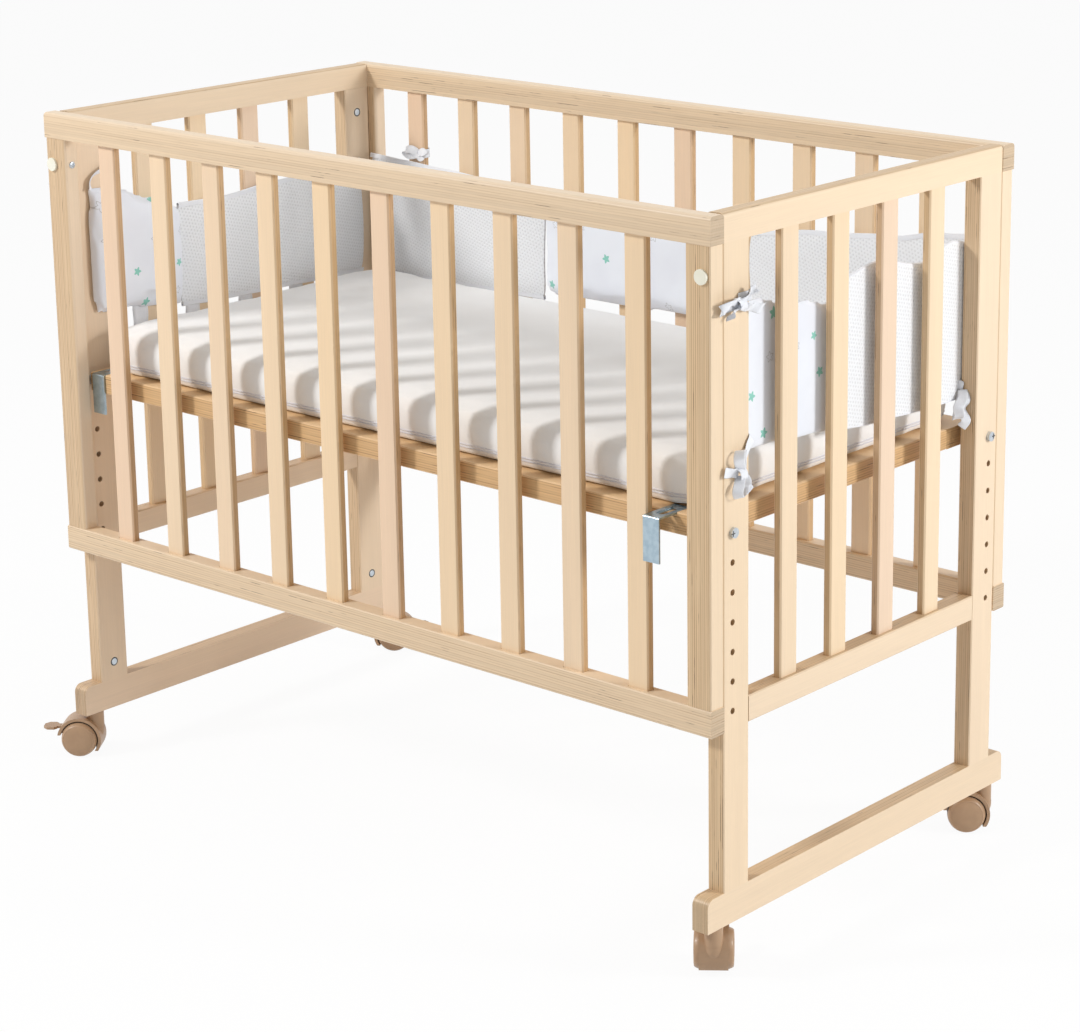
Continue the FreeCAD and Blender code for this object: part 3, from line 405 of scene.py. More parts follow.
def lathe(profile, centre, axis, steps=24):
    """Points and faces of a profile of (radius, height) in mm turned round an axis."""
    centre = Vector(centre)
    turn = Vector((0, 0, 1)).rotation_difference(Vector(axis))
    points, faces, rows = [], [], []
    for radius, height in profile:
        ring = 1 if radius == 0 else steps
        rows.append([len(points) + k % ring for k in range(steps + 1)])
        for a in (math.tau * k / steps for k in range(ring)):
            spot = Vector((radius * math.cos(a), radius * math.sin(a), height))
            points.append(centre + turn @ spot * MM)
    for near, far in zip(rows, rows[1:]):
        for k in range(steps):
            corners = [near[k], near[k + 1], far[k + 1], far[k]]
            face = [c for i, c in enumerate(corners) if c not in corners[:i]]
            if len(face) > 2:
                faces.append(face)
    return points, faces


# %% [markdown]
# ## Screws and nuts
# CAD leaves out what is smaller than a coin: the cross in each bolt head, the screws in the
# inner sides of the front stiles that lock the panel on its studs, and the barrel nuts in
# the legs' inner faces. A turned profile makes each one, and it stands a fraction of a
# millimetre proud, because a CAD board can't be cut here.
# The crosses and the holes round the nuts are nearly black plates, painted shade for hollows that
# are not modelled.

# %% Locking screws, barrel nuts and cross recesses
LEG_IN, LEG_MIDDLE, STILE_IN, STILE_MIDDLE = 457.5, 211.5, 446.7, 240.75
FITTING_Z, FOOT_BOLT_Z = 706, 109
BOLT_FACE, BOLT_Y = 481.1, 220.5
SCREW = [(0, 0.3), (1.7, 0.3), (1.9, 1.1), (2.3, 1.4), (3.4, 1.2), (3.9, 0.7), (3.9, -0.5)]
NUT_HOLE = [(0, 0.12), (5.0, 0.12), (5.3, 0.05), (5.3, -0.4)]
NUT = [(0, 0.35), (0.5, 0.15), (3.2, 0.35), (3.8, 0.2), (3.8, -0.2)]


def cross_mark(centre, out, reach=2.7, half=0.6, deep=0.12):
    """The cross of a bolt head that looks along X, as a thin plate of twelve corners."""
    shape = [(half, half), (half, reach), (-half, reach), (-half, half), (-reach, half),
             (-reach, -half), (-half, -half), (-half, -reach), (half, -reach), (half, -half),
             (reach, -half), (reach, half)]
    points = [Vector(centre) * MM + Vector((out * h, y, z)) * MM
              for h in (-0.3, deep) for y, z in shape]
    count = len(shape)
    sides = [(k, (k + 1) % count, count + (k + 1) % count, count + k) for k in range(count)]
    return points, sides + [tuple(range(count)), tuple(range(count, 2 * count))]


bolt_low, bolt_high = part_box("base_bolts")
bolt_z = (bolt_low.z + bolt_high.z) / 2 / MM
crosses = [cross_mark((side * BOLT_FACE, end * BOLT_Y, bolt_z), side)
           for side in (-1, 1) for end in (-1, 1)]
piece("bolt_crosses", *joined(*crosses), recess_shade_steel, "bed_base", "steel")

screws = [lathe(SCREW, Vector((side * STILE_IN, -STILE_MIDDLE, FITTING_Z)) * MM, (-side, 0, 0))
          for side in (-1, 1)]
piece("locking_screws", *joined(*screws), bolt_zinc, "front_panel", "steel")

nut_places = [(side, end, z) for side in (-1, 1)
              for end, z in ((-1, FOOT_BOLT_Z), (1, FOOT_BOLT_Z), (1, FITTING_Z))]
# the hole round each nut is a nearly black disc: painted shade for the bore
for name, profile, material in (("nut_holes", NUT_HOLE, recess_shade_steel),
                                ("barrel_nuts", NUT, bolt_zinc)):
    turned_parts = [lathe(profile, Vector((side * LEG_IN, end * LEG_MIDDLE, z)) * MM, (-side, 0, 0))
                    for side, end, z in nut_places]
    piece(name, *joined(*turned_parts), material, "frame", "steel")
print(len(crosses), "crosses,", len(screws), "locking screws,", len(nut_places), "barrel nuts")

# %% [markdown]
# ## Casters
# Each caster has two wheels: a tan cover with a soft dark tread let into its rim. They turn
# with the axle, so a turned profile is exact at every roll. Behind the arch the boss of the
# stem runs out in a short cone.

# %% Wheels, treads and the cone under the boss
STEM_X, STEM_Y, TRAIL, AXLE_Z = 467.75, 235.0, 18, 21
CASTERS = {"front_left": (-1, -1, -142.3), "front_right": (1, -1, 127.7),
           "back_left": (-1, 1, 37.7), "back_right": (1, 1, -142.3)}
COVER = [(2.5, 0), (2.5, 7.7), (19.8, 7.7), (20.0, 13.4), (20.8, 13.8), (20.5, 15.4),
         (19.2, 18.3), (18.4, 19.4), (17.4, 19.8), (16.9, 19.6), (16.4, 19.95), (8, 20.3),
         (0, 20.4)]
TREAD = [(19.8, 7.9), (20.5, 7.9), (20.95, 8.5), (20.95, 12.9), (20.6, 13.5), (19.9, 13.6)]
CONE = [(0, 11), (2.6, 13.5), (6.2, 18.5), (8.8, 23.5), (9.75, 28), (9.75, 33)]

for corner, (side, end, angle) in CASTERS.items():
    stem = Vector((side * STEM_X, end * STEM_Y, 0)) * MM
    trail = Vector((math.cos(math.radians(angle)), math.sin(math.radians(angle)), 0))
    middle = stem + trail * TRAIL * MM + Vector((0, 0, AXLE_Z * MM))
    axle = Vector((-trail.y, trail.x, 0))
    for part, profile, material in (("covers", COVER, tan), ("treads", TREAD, tread)):
        pair = [lathe(profile, middle, axle * way, 48) for way in (-1, 1)]
        wheels = piece(f"wheel_{part}_{corner}", *joined(*pair), material, f"wheels_{corner}",
                       "wheel_plastic")
        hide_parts(f"caster_{corner}_wheels")
    cone = lathe(CONE, stem, (0, 0, 1), 32)
    piece(f"boss_cone_{corner}", *cone, tan, f"caster_{corner}", "caster_plastic")
print(len(CASTERS), "casters dressed")

# %% [markdown]
# ## Cloth
# The mattress cover is a fine knit, the bumper a printed cotton with stretches of spacer
# mesh, and the ties are the same cotton cut in strips. All of them are white, so what
# tells them apart is their surface: threads, holes and folds.

# %% Plain cotton and knit
def cotton(name, colour, shade, weave=900, rough=0.85):
    """Woven or knitted cloth: a fine weave, and slow changes in its tone."""
    cloth, shader, place = finish(name, Sheen_Weight=0.2, Sheen_Roughness=0.5)
    x, y, z = place.axes()
    slow = place.noise(x * 14, y * 14, z * 14, detail=3)
    threads = place.noise(x * weave, y * weave, z * weave)
    feed(shader, "Base Color", (0.7 * slow + 0.3 * threads).between(0.3, 0.7).mix(shade, colour))
    feed(shader, "Roughness", rough + 0.1 * threads)
    bump(shader, 0.3 * threads + slow, 0.5 * MM)
    return cloth


knit = cotton("knitted_cover", (0.88, 0.88, 0.875), (0.84, 0.835, 0.825), weave=1100)
thread = cotton("seam_thread", (0.72, 0.72, 0.76), (0.62, 0.62, 0.67), weave=1500)
tape_cotton = cotton("cotton_tape", (0.86, 0.88, 0.92), (0.77, 0.79, 0.84), weave=1300)
print("cloths:", knit.name, thread.name, tape_cotton.name)

# %% [markdown]
# The print is small five-pointed stars, some filled and some only outlined, scattered
# loosely. The cloth is divided into cells, and each cell draws one star with its own place,
# turn, size and kind. In polar form a star is a circle whose radius falls from tip to
# valley five times a turn, which takes one arctangent and a few sums.

# %% Star print
MINT, GREY, PALE_GREY = (0.26, 0.60, 0.52), (0.38, 0.37, 0.365), (0.50, 0.51, 0.53)
PRINT_WHITE, PRINT_SHADE = (0.83, 0.865, 0.93), (0.79, 0.82, 0.89)
CELL, STAR = 37 * MM, 6.6 * MM
GREY_STARS, FILLED_STARS, ALL_STARS = 0.24, 0.40, 0.76  # shares of the cells, added up


def star_print(name, across):
    """White cotton with a star print; across is the axis that runs along the pad."""
    cloth, shader, place = finish(name, Sheen_Weight=0.2, Sheen_Roughness=0.5)
    c = place.axes()
    row = c[2] / CELL
    row_id = row.math("FLOOR", row)
    column = c[across] / CELL + place.chance(row_id, seed=1)
    column_id = column.math("FLOOR", column)

    def dice(seed):
        return place.chance(column_id, row_id, seed)

    u = (column - column_id - 0.5 - 0.36 * (dice(2) - 0.5)) * CELL
    v = (row - row_id - 0.5 - 0.36 * (dice(3) - 0.5)) * CELL
    # fifth counts fifths of a turn, and valley is 0 at a tip and 1 between two tips
    fifth = u.math("ARCTAN2", v, u) / (math.tau / 5) + dice(4) + 8
    fold = fifth - fifth.math("FLOOR", fifth) - 0.5
    valley = 2 * fold.math("ABSOLUTE", fold)
    reach = STAR * (0.75 + 0.4 * dice(5)) * (1 - 0.52 * valley)
    inside = (reach - u.math("SQRT", u * u + v * v)) / MM
    kind = dice(6)
    filled = inside.between(-0.25, 0.25) * (kind < FILLED_STARS)
    rim = 1 - inside.math("ABSOLUTE", inside - 0.4).between(0.35, 0.75)
    outline = rim * (kind > FILLED_STARS) * (kind < ALL_STARS)

    slow = place.noise(c[0] * 14, c[1] * 14, c[2] * 14, detail=3)
    threads = place.noise(c[0] * 1300, c[1] * 1300, c[2] * 1300)
    white = slow.between(0.35, 0.65).mix(PRINT_SHADE, PRINT_WHITE)
    ink = (kind < GREY_STARS).mix(GREY, MINT)
    colour = (outline * 0.85).mix(filled.mix(white, ink), PALE_GREY)
    feed(shader, "Base Color", colour)
    feed(shader, "Roughness", 0.84 + 0.1 * threads)
    bump(shader, 0.2 * threads + slow, 0.6 * MM)
    return cloth


print_on_ends = star_print("star_print_ends", across=Y)
print_on_back = star_print("star_print_back", across=X)
print("stars of about", round(STAR / MM, 1), "mm in cells of", round(CELL / MM), "mm")

# %% [markdown]
# Spacer mesh is knitted with small six-sided holes. Three waves at 60 degrees to each other
# add up to peaks on exactly that lattice, and each peak is a hole.
# The holes are not open: they are painted grey, as painted shade for what is seen through them.

# %% Spacer mesh
MESH_WHITE, MESH_HOLE_SHADE = (0.85, 0.87, 0.90), (0.62, 0.63, 0.65)
HOLE_PITCH = 3.9 * MM
WAVES = [math.radians(degrees) for degrees in (15, 75, 135)]


def spacer_mesh(name, across):
    """White mesh with rows of holes; across is the axis that runs along the pad."""
    cloth, shader, place = finish(name, Sheen_Weight=0.15, Sheen_Roughness=0.6)
    c = place.axes()
    u, v = c[across] * (math.tau / HOLE_PITCH), c[2] * (math.tau / HOLE_PITCH)
    waves = [u.math("COSINE", u * math.cos(a) + v * math.sin(a)) for a in WAVES]
    hole = (waves[0] + waves[1] + waves[2]).between(0.2, 1.6)
    slow = place.noise(c[0] * 10, c[1] * 10, c[2] * 10, detail=3)
    # the holes take a grey colour: painted shade for the space behind the open knit
    feed(shader, "Base Color", (hole * (0.15 + 0.5 * slow)).mix(MESH_WHITE, MESH_HOLE_SHADE))
    feed(shader, "Roughness", 0.8 + 0.15 * hole)
    bump(shader, slow * 2 - hole, 0.35 * MM)
    return cloth


mesh_on_ends = spacer_mesh("spacer_mesh_ends", across=Y)
mesh_on_back = spacer_mesh("spacer_mesh_back", across=X)
print("holes every", round(HOLE_PITCH / MM, 1), "mm")

# %% [markdown]
# ## Padding
# Cushions and pads get their form the way the real ones do: a flat cover is blown up until
# its cloth is tight. Blender's cloth with a little pressure does that, and wrinkles it near
# the seams. Each point may only move a short way, and a rule keeps it in its own room, so
# that the pad never swells through the slats behind it.

# %% Blow up a cover
def swell(obj, voxel, cap, room, pressure=4.0, frames=20):
    """Blow a closed form up by cap at most; room(point) moves a point back where it may be."""
    bpy.context.view_layer.objects.active = obj
    remesh = obj.modifiers.new("remesh", "REMESH")
    remesh.mode, remesh.voxel_size = "VOXEL", voxel
    bpy.ops.object.modifier_apply(modifier="remesh")
    start = [v.co.copy() for v in obj.data.vertices]
    cloth = obj.modifiers.new("cloth", "CLOTH")
    cloth.settings.use_pressure = True
    cloth.settings.uniform_pressure_force = pressure
    cloth.settings.effector_weights.gravity = 0
    cloth.point_cache.frame_start, cloth.point_cache.frame_end = 1, frames
    for step in range(1, frames + 1):
        bpy.context.scene.frame_set(step)
    bpy.ops.object.modifier_apply(modifier="cloth")
    bpy.context.scene.frame_set(1)
    for vertex, before in zip(obj.data.vertices, start):
        move = vertex.co - before
        if move.length > cap:
            vertex.co = before + move.normalized() * cap
    for vertex in obj.data.vertices:
        vertex.co = room(vertex.co)
    for polygon in obj.data.polygons:
        polygon.use_smooth = True
    smooth = obj.modifiers.new("smooth", "SUBSURF")
    smooth.levels = smooth.render_levels = 1
    print(obj.name, len(obj.data.vertices), "points after swelling")


# %% [markdown]
# ## Mattress
# A foam block in a white cover: the top is slightly crowned, the sides bulge between the
# top edge and the seam that runs round near the bottom, and the corners are full.

# %% Model the mattress
bed_low, bed_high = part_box("mattress")
SEAM_Z, SEAM_REACH = bed_low.z + 11 * MM, 6 * MM
DRAWN_X, DRAWN_Y = 0.003, 0.007  # the shares of its place that the seam draws a point in


def mattress_form(corner=36 * MM, cuts=26):
    """A closed block with round corners, a crowned top and drawn-in edges."""
    form = bmesh.new()
    bmesh.ops.create_cube(form, size=2)
    bmesh.ops.subdivide_edges(form, edges=form.edges[:], cuts=cuts, use_grid_fill=True)
    middle, half = (bed_low + bed_high) / 2, (bed_high - bed_low) / 2
    for vertex in form.verts:
        u, v, w = vertex.co
        drawn = 6 * MM * abs(w) ** 4
        x, y = (half.x - drawn) * u, (half.y - drawn) * v
        over_x, over_y = abs(x) - (half.x - corner), abs(y) - (half.y - corner)
        reach = math.hypot(max(over_x, 0), max(over_y, 0))
        if over_x > 0 and over_y > 0 and reach > corner - drawn:
            x = math.copysign(half.x - corner + over_x / reach * (corner - drawn), x)
            y = math.copysign(half.y - corner + over_y / reach * (corner - drawn), y)
        crown = (1 - abs(u) ** 8) * (1 - abs(v) ** 6)
        rise = half.z * (0.74 + 0.24 * crown) if w > 0 else half.z * 0.97
        vertex.co = (middle.x + x, middle.y + y, middle.z + w * rise)
    points = [v.co.copy() for v in form.verts]
    faces = [[v.index for v in f.verts] for f in form.faces]
    form.free()
    return points, faces


def on_the_base(point):
    """Keep a point of the mattress in its box, and draw its sides in at the seam."""
    near = max(0, 1 - abs(point.z - SEAM_Z) / SEAM_REACH)
    x = max(bed_low.x + 1 * MM, min(bed_high.x - 1 * MM, point.x))
    y = max(bed_low.y + 1 * MM, min(bed_high.y - 1 * MM, point.y * (1 - DRAWN_Y * near)))
    z = max(bed_low.z + 0.3 * MM, min(bed_high.z, point.z))
    return Vector((x * (1 - DRAWN_X * near), y, z))


mattress = piece("mattress_cover", *mattress_form(), knit, "bed_base", "mattress_cover")
swell(mattress, 7 * MM, 8 * MM, on_the_base)
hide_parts("mattress")

# %% [markdown]
# The seam is a pair of stitched ridges. They are laid on the finished cover: from points
# all round the mattress a ray runs inwards, and where it meets the cloth the ridge goes.
# The rays start outside and aim at a spine along the middle, so they meet the long sides
# squarely and turn with the corners.

# %% Stitch the seam
SPINE, AROUND = 0.40, 360
OVAL_X, OVAL_Y, OUTSIDE = 0.62, 0.40, 0.6


def tube(points, radius, sides=6):
    """Points and faces of a thin tube along a closed ring of points."""
    count = len(points)
    verts, faces = [], []
    for k, at in enumerate(points):
        turn = Vector((0, 0, 1)).rotation_difference(points[(k + 1) % count] - points[k - 1])
        verts += [at + turn @ Vector((math.cos(a), math.sin(a), 0)) * radius
                  for a in (math.tau * s / sides for s in range(sides))]
    for k in range(count):
        n = (k + 1) % count
        faces += [(k * sides + s, k * sides + (s + 1) % sides, n * sides + (s + 1) % sides,
                   n * sides + s) for s in range(sides)]
    return verts, faces


cover = BVHTree.FromObject(mattress, bpy.context.evaluated_depsgraph_get())
ridges = []
for lift in (-1.6 * MM, 1.6 * MM):
    ring = []
    for k in range(AROUND):
        angle = math.tau * k / AROUND
        x = max(-SPINE, min(SPINE, OVAL_X * math.cos(angle)))
        outward = Vector((OVAL_X * math.cos(angle) - x, OVAL_Y * math.sin(angle), 0)).normalized()
        start = Vector((x, 0, SEAM_Z + lift)) + outward * OUTSIDE
        ring.append(cover.ray_cast(start, -outward)[0] + outward * 0.2 * MM)
    ridges.append(tube(ring, 0.9 * MM))
piece("mattress_seam", *joined(*ridges), thread, "bed_base", "mattress_cover")
print("seam at", round((SEAM_Z - bed_low.z) / MM), "mm above the base")

# %% [markdown]
# ## Bumper
# The bumper runs round three sides, tied to the legs and slats. Each side is sewn from
# padded cotton and thinner spacer mesh. Each station below is a place along the side and
# the heights of the lower and upper edge there, in millimetres above the foot rails, as the
# CAD pads have them.

# %% Where the bumper's edges run
FOOT, END_WALL, BACK_WALL = 88 * MM, 456.6 * MM, 230.0 * MM
PRINT, MESH = 12.5, 7.5  # how full each cloth is sewn
STRETCHES = {
    "left_print": (PRINT, [(-221, 438, 592), (-178, 434, 588), (-130, 431, 571), (-82, 428, 552)]),
    "left_mesh": (MESH, [(-86, 428, 549), (-20, 425, 547), (70, 423, 553), (150, 421, 557),
                         (211, 420, 561)]),
    "back_mesh_left": (MESH, [(-453, 419, 565), (-390, 418, 562), (-330, 418, 559),
                              (-240, 420, 554), (-163, 421, 552)]),
    "back_print": (PRINT, [(-167, 421, 553), (-60, 423, 551), (40, 424, 547), (152, 425, 545)]),
    "back_mesh_right": (MESH, [(148, 425, 544), (250, 424, 555), (340, 423, 562),
                               (405, 422, 573), (453, 421, 577)]),
    "right_print": (PRINT, [(-188, 428, 590), (-165, 426, 585), (-90, 422, 570), (-25, 420, 558)]),
    "right_mesh": (MESH, [(-28, 420, 571), (40, 415, 581), (120, 411, 566), (175, 409, 579),
                          (211, 410, 573)]),
}
WALLS = {
    "left": lambda along, inward, z: Vector((-END_WALL + inward, along, z)),
    "right": lambda along, inward, z: Vector((END_WALL - inward, along, z)),
    "back": lambda along, inward, z: Vector((along, BACK_WALL - inward, z)),
}


def height_at(stations, along, which):
    """The lower or upper edge at a place along a side, smooth through its stations."""
    for (a, *near), (b, *far) in zip(stations, stations[1:]):
        if along <= b:
            share = max(0, (along - a) / (b - a))
            share = share * share * (3 - 2 * share)
            return near[which] + share * (far[which] - near[which])
    return stations[-1][which + 1]


print(len(STRETCHES), "stretches,", sum(stretch[-1][0] - stretch[0][0]
                                        for _, stretch in STRETCHES.values()), "mm of bumper")

# %% [markdown]
# A pad is a grid of points on its wall and the same grid a little inwards, closed round its
# rim. High powers keep it full nearly to the edge. Its ends waver a little and its corners
# are drawn in, as where padding stops short. The printed pads are then blown up, and the
# thinner mesh keeps the form it is given.

# %% Make the pads
WAVER, DRAWN_IN, CLEAR = 1.6, 3.5, 0.3 * MM


def pad_form(side, stations, full, edge=3.0, ups=18):
    """A closed pad: flat against its wall, full in the middle and thin at its edges."""
    first, last = stations[0][0], stations[-1][0]
    steps = max(12, round((last - first) / 8))
    points, faces = [], []
    for face in (0, 1):
        for i in range(steps + 1):
            for j in range(ups + 1):
                u, v = 2 * i / steps - 1, 2 * j / ups - 1
                waver = WAVER * math.sin(2.6 * v + first) * abs(u) ** 4
                along = first + (last - first) * i / steps - DRAWN_IN * u ** 9 * v ** 8 + waver
                lower, upper = (height_at(stations, along, k) for k in (0, 1))
                rise = lower + (upper - lower) * (v * (1 - 0.03 * u ** 10) + 1) / 2
                fill = (1 - abs(u) ** 10) * (1 - abs(v) ** 5)
                inward = (0.4, edge + (full - edge) * fill)[face]
                points.append(WALLS[side](along * MM, inward * MM, FOOT + rise * MM))
    half, row = (steps + 1) * (ups + 1), ups + 1
    for i in range(steps):
        for j in range(ups):
            a = i * row + j
            faces.append((a, a + 1, a + row + 1, a + row))
            faces.append((half + a, half + a + row, half + a + row + 1, half + a + 1))
    rim = ([i * row for i in range(steps + 1)] + [steps * row + j for j in range(1, ups + 1)]
           + [i * row + ups for i in range(steps - 1, -1, -1)] + list(range(ups - 1, 0, -1)))
    for a, b in zip(rim, rim[1:] + rim[:1]):
        faces.append((a, b, half + b, half + a))
    return points, faces


def against_wall(side):
    """Keep a pad's points on the inner side of the slats."""
    def room(point):
        if side == "back":
            return Vector((point.x, min(point.y, BACK_WALL - CLEAR), point.z))
        limit = END_WALL - CLEAR
        return Vector((max(-limit, min(limit, point.x)), point.y, point.z))
    return room


for name, (full, stations) in STRETCHES.items():
    side = name.split("_")[0]
    printed = "print" in name
    cloths = (mesh_on_back, print_on_back) if side == "back" else (mesh_on_ends, print_on_ends)
    form = pad_form(side, stations, full)
    pad = piece(f"bumper_{name}", *form, cloths[printed], "frame", "bumper_fabric")
    if printed:
        swell(pad, 5 * MM, 5 * MM, against_wall(side))
    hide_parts(f"bumper_{side}")

# %% [markdown]
# The upper and lower edges of the mesh are bound with a folded cotton tape.

# %% Bind the mesh
BOUND = 5.0
FOLDED = [(0.5, -4), (0.35, 0.4), (BOUND / 2, 1.3), (BOUND - 1.2, 0.4), (BOUND - 0.6, -4)]


def binding(name, side, stations, which):
    """A tape folded over the edge of a mesh stretch; which is 0 below and 1 above."""
    first, last = stations[0][0] + 1.5, stations[-1][0] - 1.5
    sign = 1 if which else -1
    steps = max(10, round((last - first) / 12))
    points, faces = [], []
    for i in range(steps + 1):
        along = first + (last - first) * i / steps
        edge = height_at(stations, along, which)
        points += [WALLS[side](along * MM, inward * MM, FOOT + (edge + sign * rise) * MM)
                   for inward, rise in FOLDED]
    count = len(FOLDED)
    for i in range(steps):
        faces += [(i * count + k, i * count + k + 1, (i + 1) * count + k + 1, (i + 1) * count + k)
                  for k in range(count - 1)]
    piece(name, points, faces, tape_cotton, "frame", "bumper_fabric")


meshes = [name for name in STRETCHES if "mesh" in name]
for name in meshes:
    for which, edge in enumerate(("lower", "upper")):
        binding(f"binding_{name}_{edge}", name.split("_")[0], STRETCHES[name][1], which)
print(2 * len(meshes), "edges bound")

# %% [markdown]
# ## Ties
# The ties are cotton tape, 11 mm wide. A tape is a strip that follows a line, and its width
# can point any way: flat on the leg, or out from it where a loop stands up. Each bow is
# drawn as loops, ends and a knot round one middle, and all its strips together are one
# length of tape.

# %% A strip of tape
TAPE = 11 * MM


def smooth_line(points, steps=7):
    """A smooth line through all its points."""
    line = []
    ends = [2 * points[0] - points[1], *points, 2 * points[-1] - points[-2]]
    for a, b, c, d in zip(ends, ends[1:], ends[2:], ends[3:]):
        for k in range(steps):
            s = k / steps
            line.append(0.5 * (2 * b + (c - a) * s + (2 * a - 5 * b + 4 * c - d) * s * s
                               + (3 * b - a - 3 * c + d) * s ** 3))
    return line + [points[-1]]


def strip(line, ways, width=TAPE):
    """Points and faces of a strip along a line; ways are directions of its width."""
    points, faces = [], []
    for k, at in enumerate(line):
        where = k / (len(line) - 1) * (len(ways) - 1)
        step = min(int(where), len(ways) - 2)
        way = ways[step].lerp(ways[step + 1], where - step)
        run = (line[min(k + 1, len(line) - 1)] - line[max(k - 1, 0)]).normalized()
        way = (way - run * way.dot(run)).normalized()
        points += [at - way * width / 2, at, at + way * width / 2]
    for k in range(len(line) - 1):
        for j in (0, 1):
            faces.append((3 * k + j, 3 * k + j + 1, 3 * k + j + 4, 3 * k + j + 3))
    length = sum((b - a).length for a, b in zip(line, line[1:]))
    return points, faces, length


def tie(name, strips, replaces=()):
    """One tape made of several strips of (points in mm, directions of its width)."""
    points, faces, length = [], [], 0
    for route, ways in strips:
        more, quads, run = strip(smooth_line([Vector(p) * MM for p in route]),
                                 [Vector(w).normalized() for w in ways])
        faces += [[i + len(points) for i in f] for f in quads]
        points += more
        length += run
    made = piece(name, points, faces, tape_cotton, "frame", "ribbon")
    thick = made.modifiers.new("thick", "SOLIDIFY")
    thick.thickness, thick.offset = 0.5 * MM, 0
    fold = made.modifiers.new("fold", "SUBSURF")
    fold.levels = fold.render_levels = 1
    if replaces:
        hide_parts(*replaces)
    print(name, round(length / MM), "mm of tape")


# %% [markdown]
# The photographed bows are on the right front leg. The bow at the top lies on its side: a
# wide loop and a tail to the front, a loop and a tail to the back. The lower one stands,
# with a loop up, a loop down and its short end to the front. A loop is a strip that runs
# out, turns at its tip and comes back nearer the leg, so its broad side shows. Each strip
# is a row of points, counted outwards from the leg's face, along the crib's depth and up
# from the floor in millimetres, with the directions of its width.

# %% Tie the bows on the front legs
UP, ALONG = (0, 0, 1), (0, 1, 0)
LEG_X = 477.5
TOP_BOW = [
    ([(4, -213, 676), (8, -222, 680), (10, -233, 679), (7, -242, 675), (4, -236, 672),
      (3, -224, 674), (3, -213, 676)],
     [(0.3, 0.1, 1), (0.6, 0.3, 0.8), (0.1, 0, 1), (0.5, 0.3, 0.8), (0, 0.2, 1)]),
    ([(4, -213, 675), (7, -219, 671), (5, -225, 668), (8, -230, 664)],
     [(0.2, 0.7, 0.7), (0.6, 0.5, 0.6), (0.1, 0.7, 0.7)]),
    ([(4, -212, 676), (9, -206, 681), (7, -200, 686), (10, -195, 688), (5, -198, 683),
      (3, -205, 678), (4, -212, 676)],
     [(0.2, -0.6, 0.8), (0.7, -0.5, 0.6), (0.1, -0.6, 0.8), (0.6, -0.3, 0.7), (0.1, -0.5, 0.8)]),
    ([(4, -212, 675), (8, -203, 671), (5, -194, 670), (8, -185, 667), (6, -177, 669)],
     [(0.2, 0.2, 1), (0.7, 0.1, 0.7), (0.1, 0.3, 1), (0.6, 0.2, 0.7)]),
    ([(1.5, -214, 681), (8, -214, 680), (9.5, -212, 676), (8, -211, 671), (1.5, -211, 670)],
     [ALONG, ALONG]),
    ([(1.2, -211, 680), (1.2, -199, 680), (0.9, -190, 680), (-8, -189, 680), (-20, -189, 681),
      (-23, -186, 683)],
     [UP, UP]),
]
LOW_BOW = [
    ([(2, -211, 511), (4, -217, 513), (2.5, -225, 514), (4, -234, 517)],
     [(0, 0, 1), (0.4, 0, 0.9), (0, 0.1, 1)]),
    ([(4, -211, 513), (8, -216, 520), (10, -220, 528), (8, -216, 535), (5, -209, 532),
      (3, -208, 522), (4, -210, 513)],
     [(0.8, 0.6, 0), (0.6, 0.8, 0.2), (0.9, 0.4, 0.1), (0.5, 0.8, 0.3), (0.8, 0.5, 0)]),
    ([(4, -211, 509), (8, -217, 503), (10, -222, 496), (8, -217, 489), (5, -208, 490),
      (3, -204, 498), (4, -209, 508)],
     [(0.8, 0.6, 0.2), (0.6, 0.8, 0), (0.9, 0.3, 0.3), (0.5, 0.6, 0.6), (0.8, 0.5, 0)]),
    ([(4, -210, 509), (7, -206, 504), (5, -203, 497), (8, -200, 492)],
     [(0.4, 0.8, 0.3), (0.8, 0.5, 0.3), (0.3, 0.9, 0.3)]),
    ([(1.5, -213, 517), (8, -213, 516), (9.5, -211, 511), (8, -210, 506), (1.5, -210, 505)],
     [ALONG, ALONG]),
    ([(1.5, -209, 512), (2.6, -203, 520), (1.6, -196, 533), (0.6, -189.6, 541), (-10, -189, 542),
      (-23, -187, 543)],
     [(0, -0.84, 0.54), (0.4, -0.8, 0.5), (0, -0.84, 0.54), (0, -0.3, 1), (0, 0, 1)]),
]


def on_leg(bow, side, shift=0):
    """A bow on the outer face of a front leg; side is 1 on the right and -1 on the left."""
    return [([(side * (LEG_X + out), along, z + shift) for out, along, z in route],
             [(side * a, b, c) for a, b, c in ways]) for route, ways in bow]


tie("tie_front_right_top", on_leg(TOP_BOW, 1), replaces=["ribbon_ties"])
tie("tie_front_right_low", on_leg(LOW_BOW, 1))
tie("tie_front_left_top", on_leg(TOP_BOW, -1, 9))
tie("tie_front_left_low", on_leg(LOW_BOW, -1, 12))

# %% [markdown]
# Inside, one tape slants from the left pad's upper corner out past the leg, a loop holds
# the back pad to a slat, and a small bow hangs beside the right back leg. Four wide tabs
# hang from the left pad's lower edge, behind the mattress.

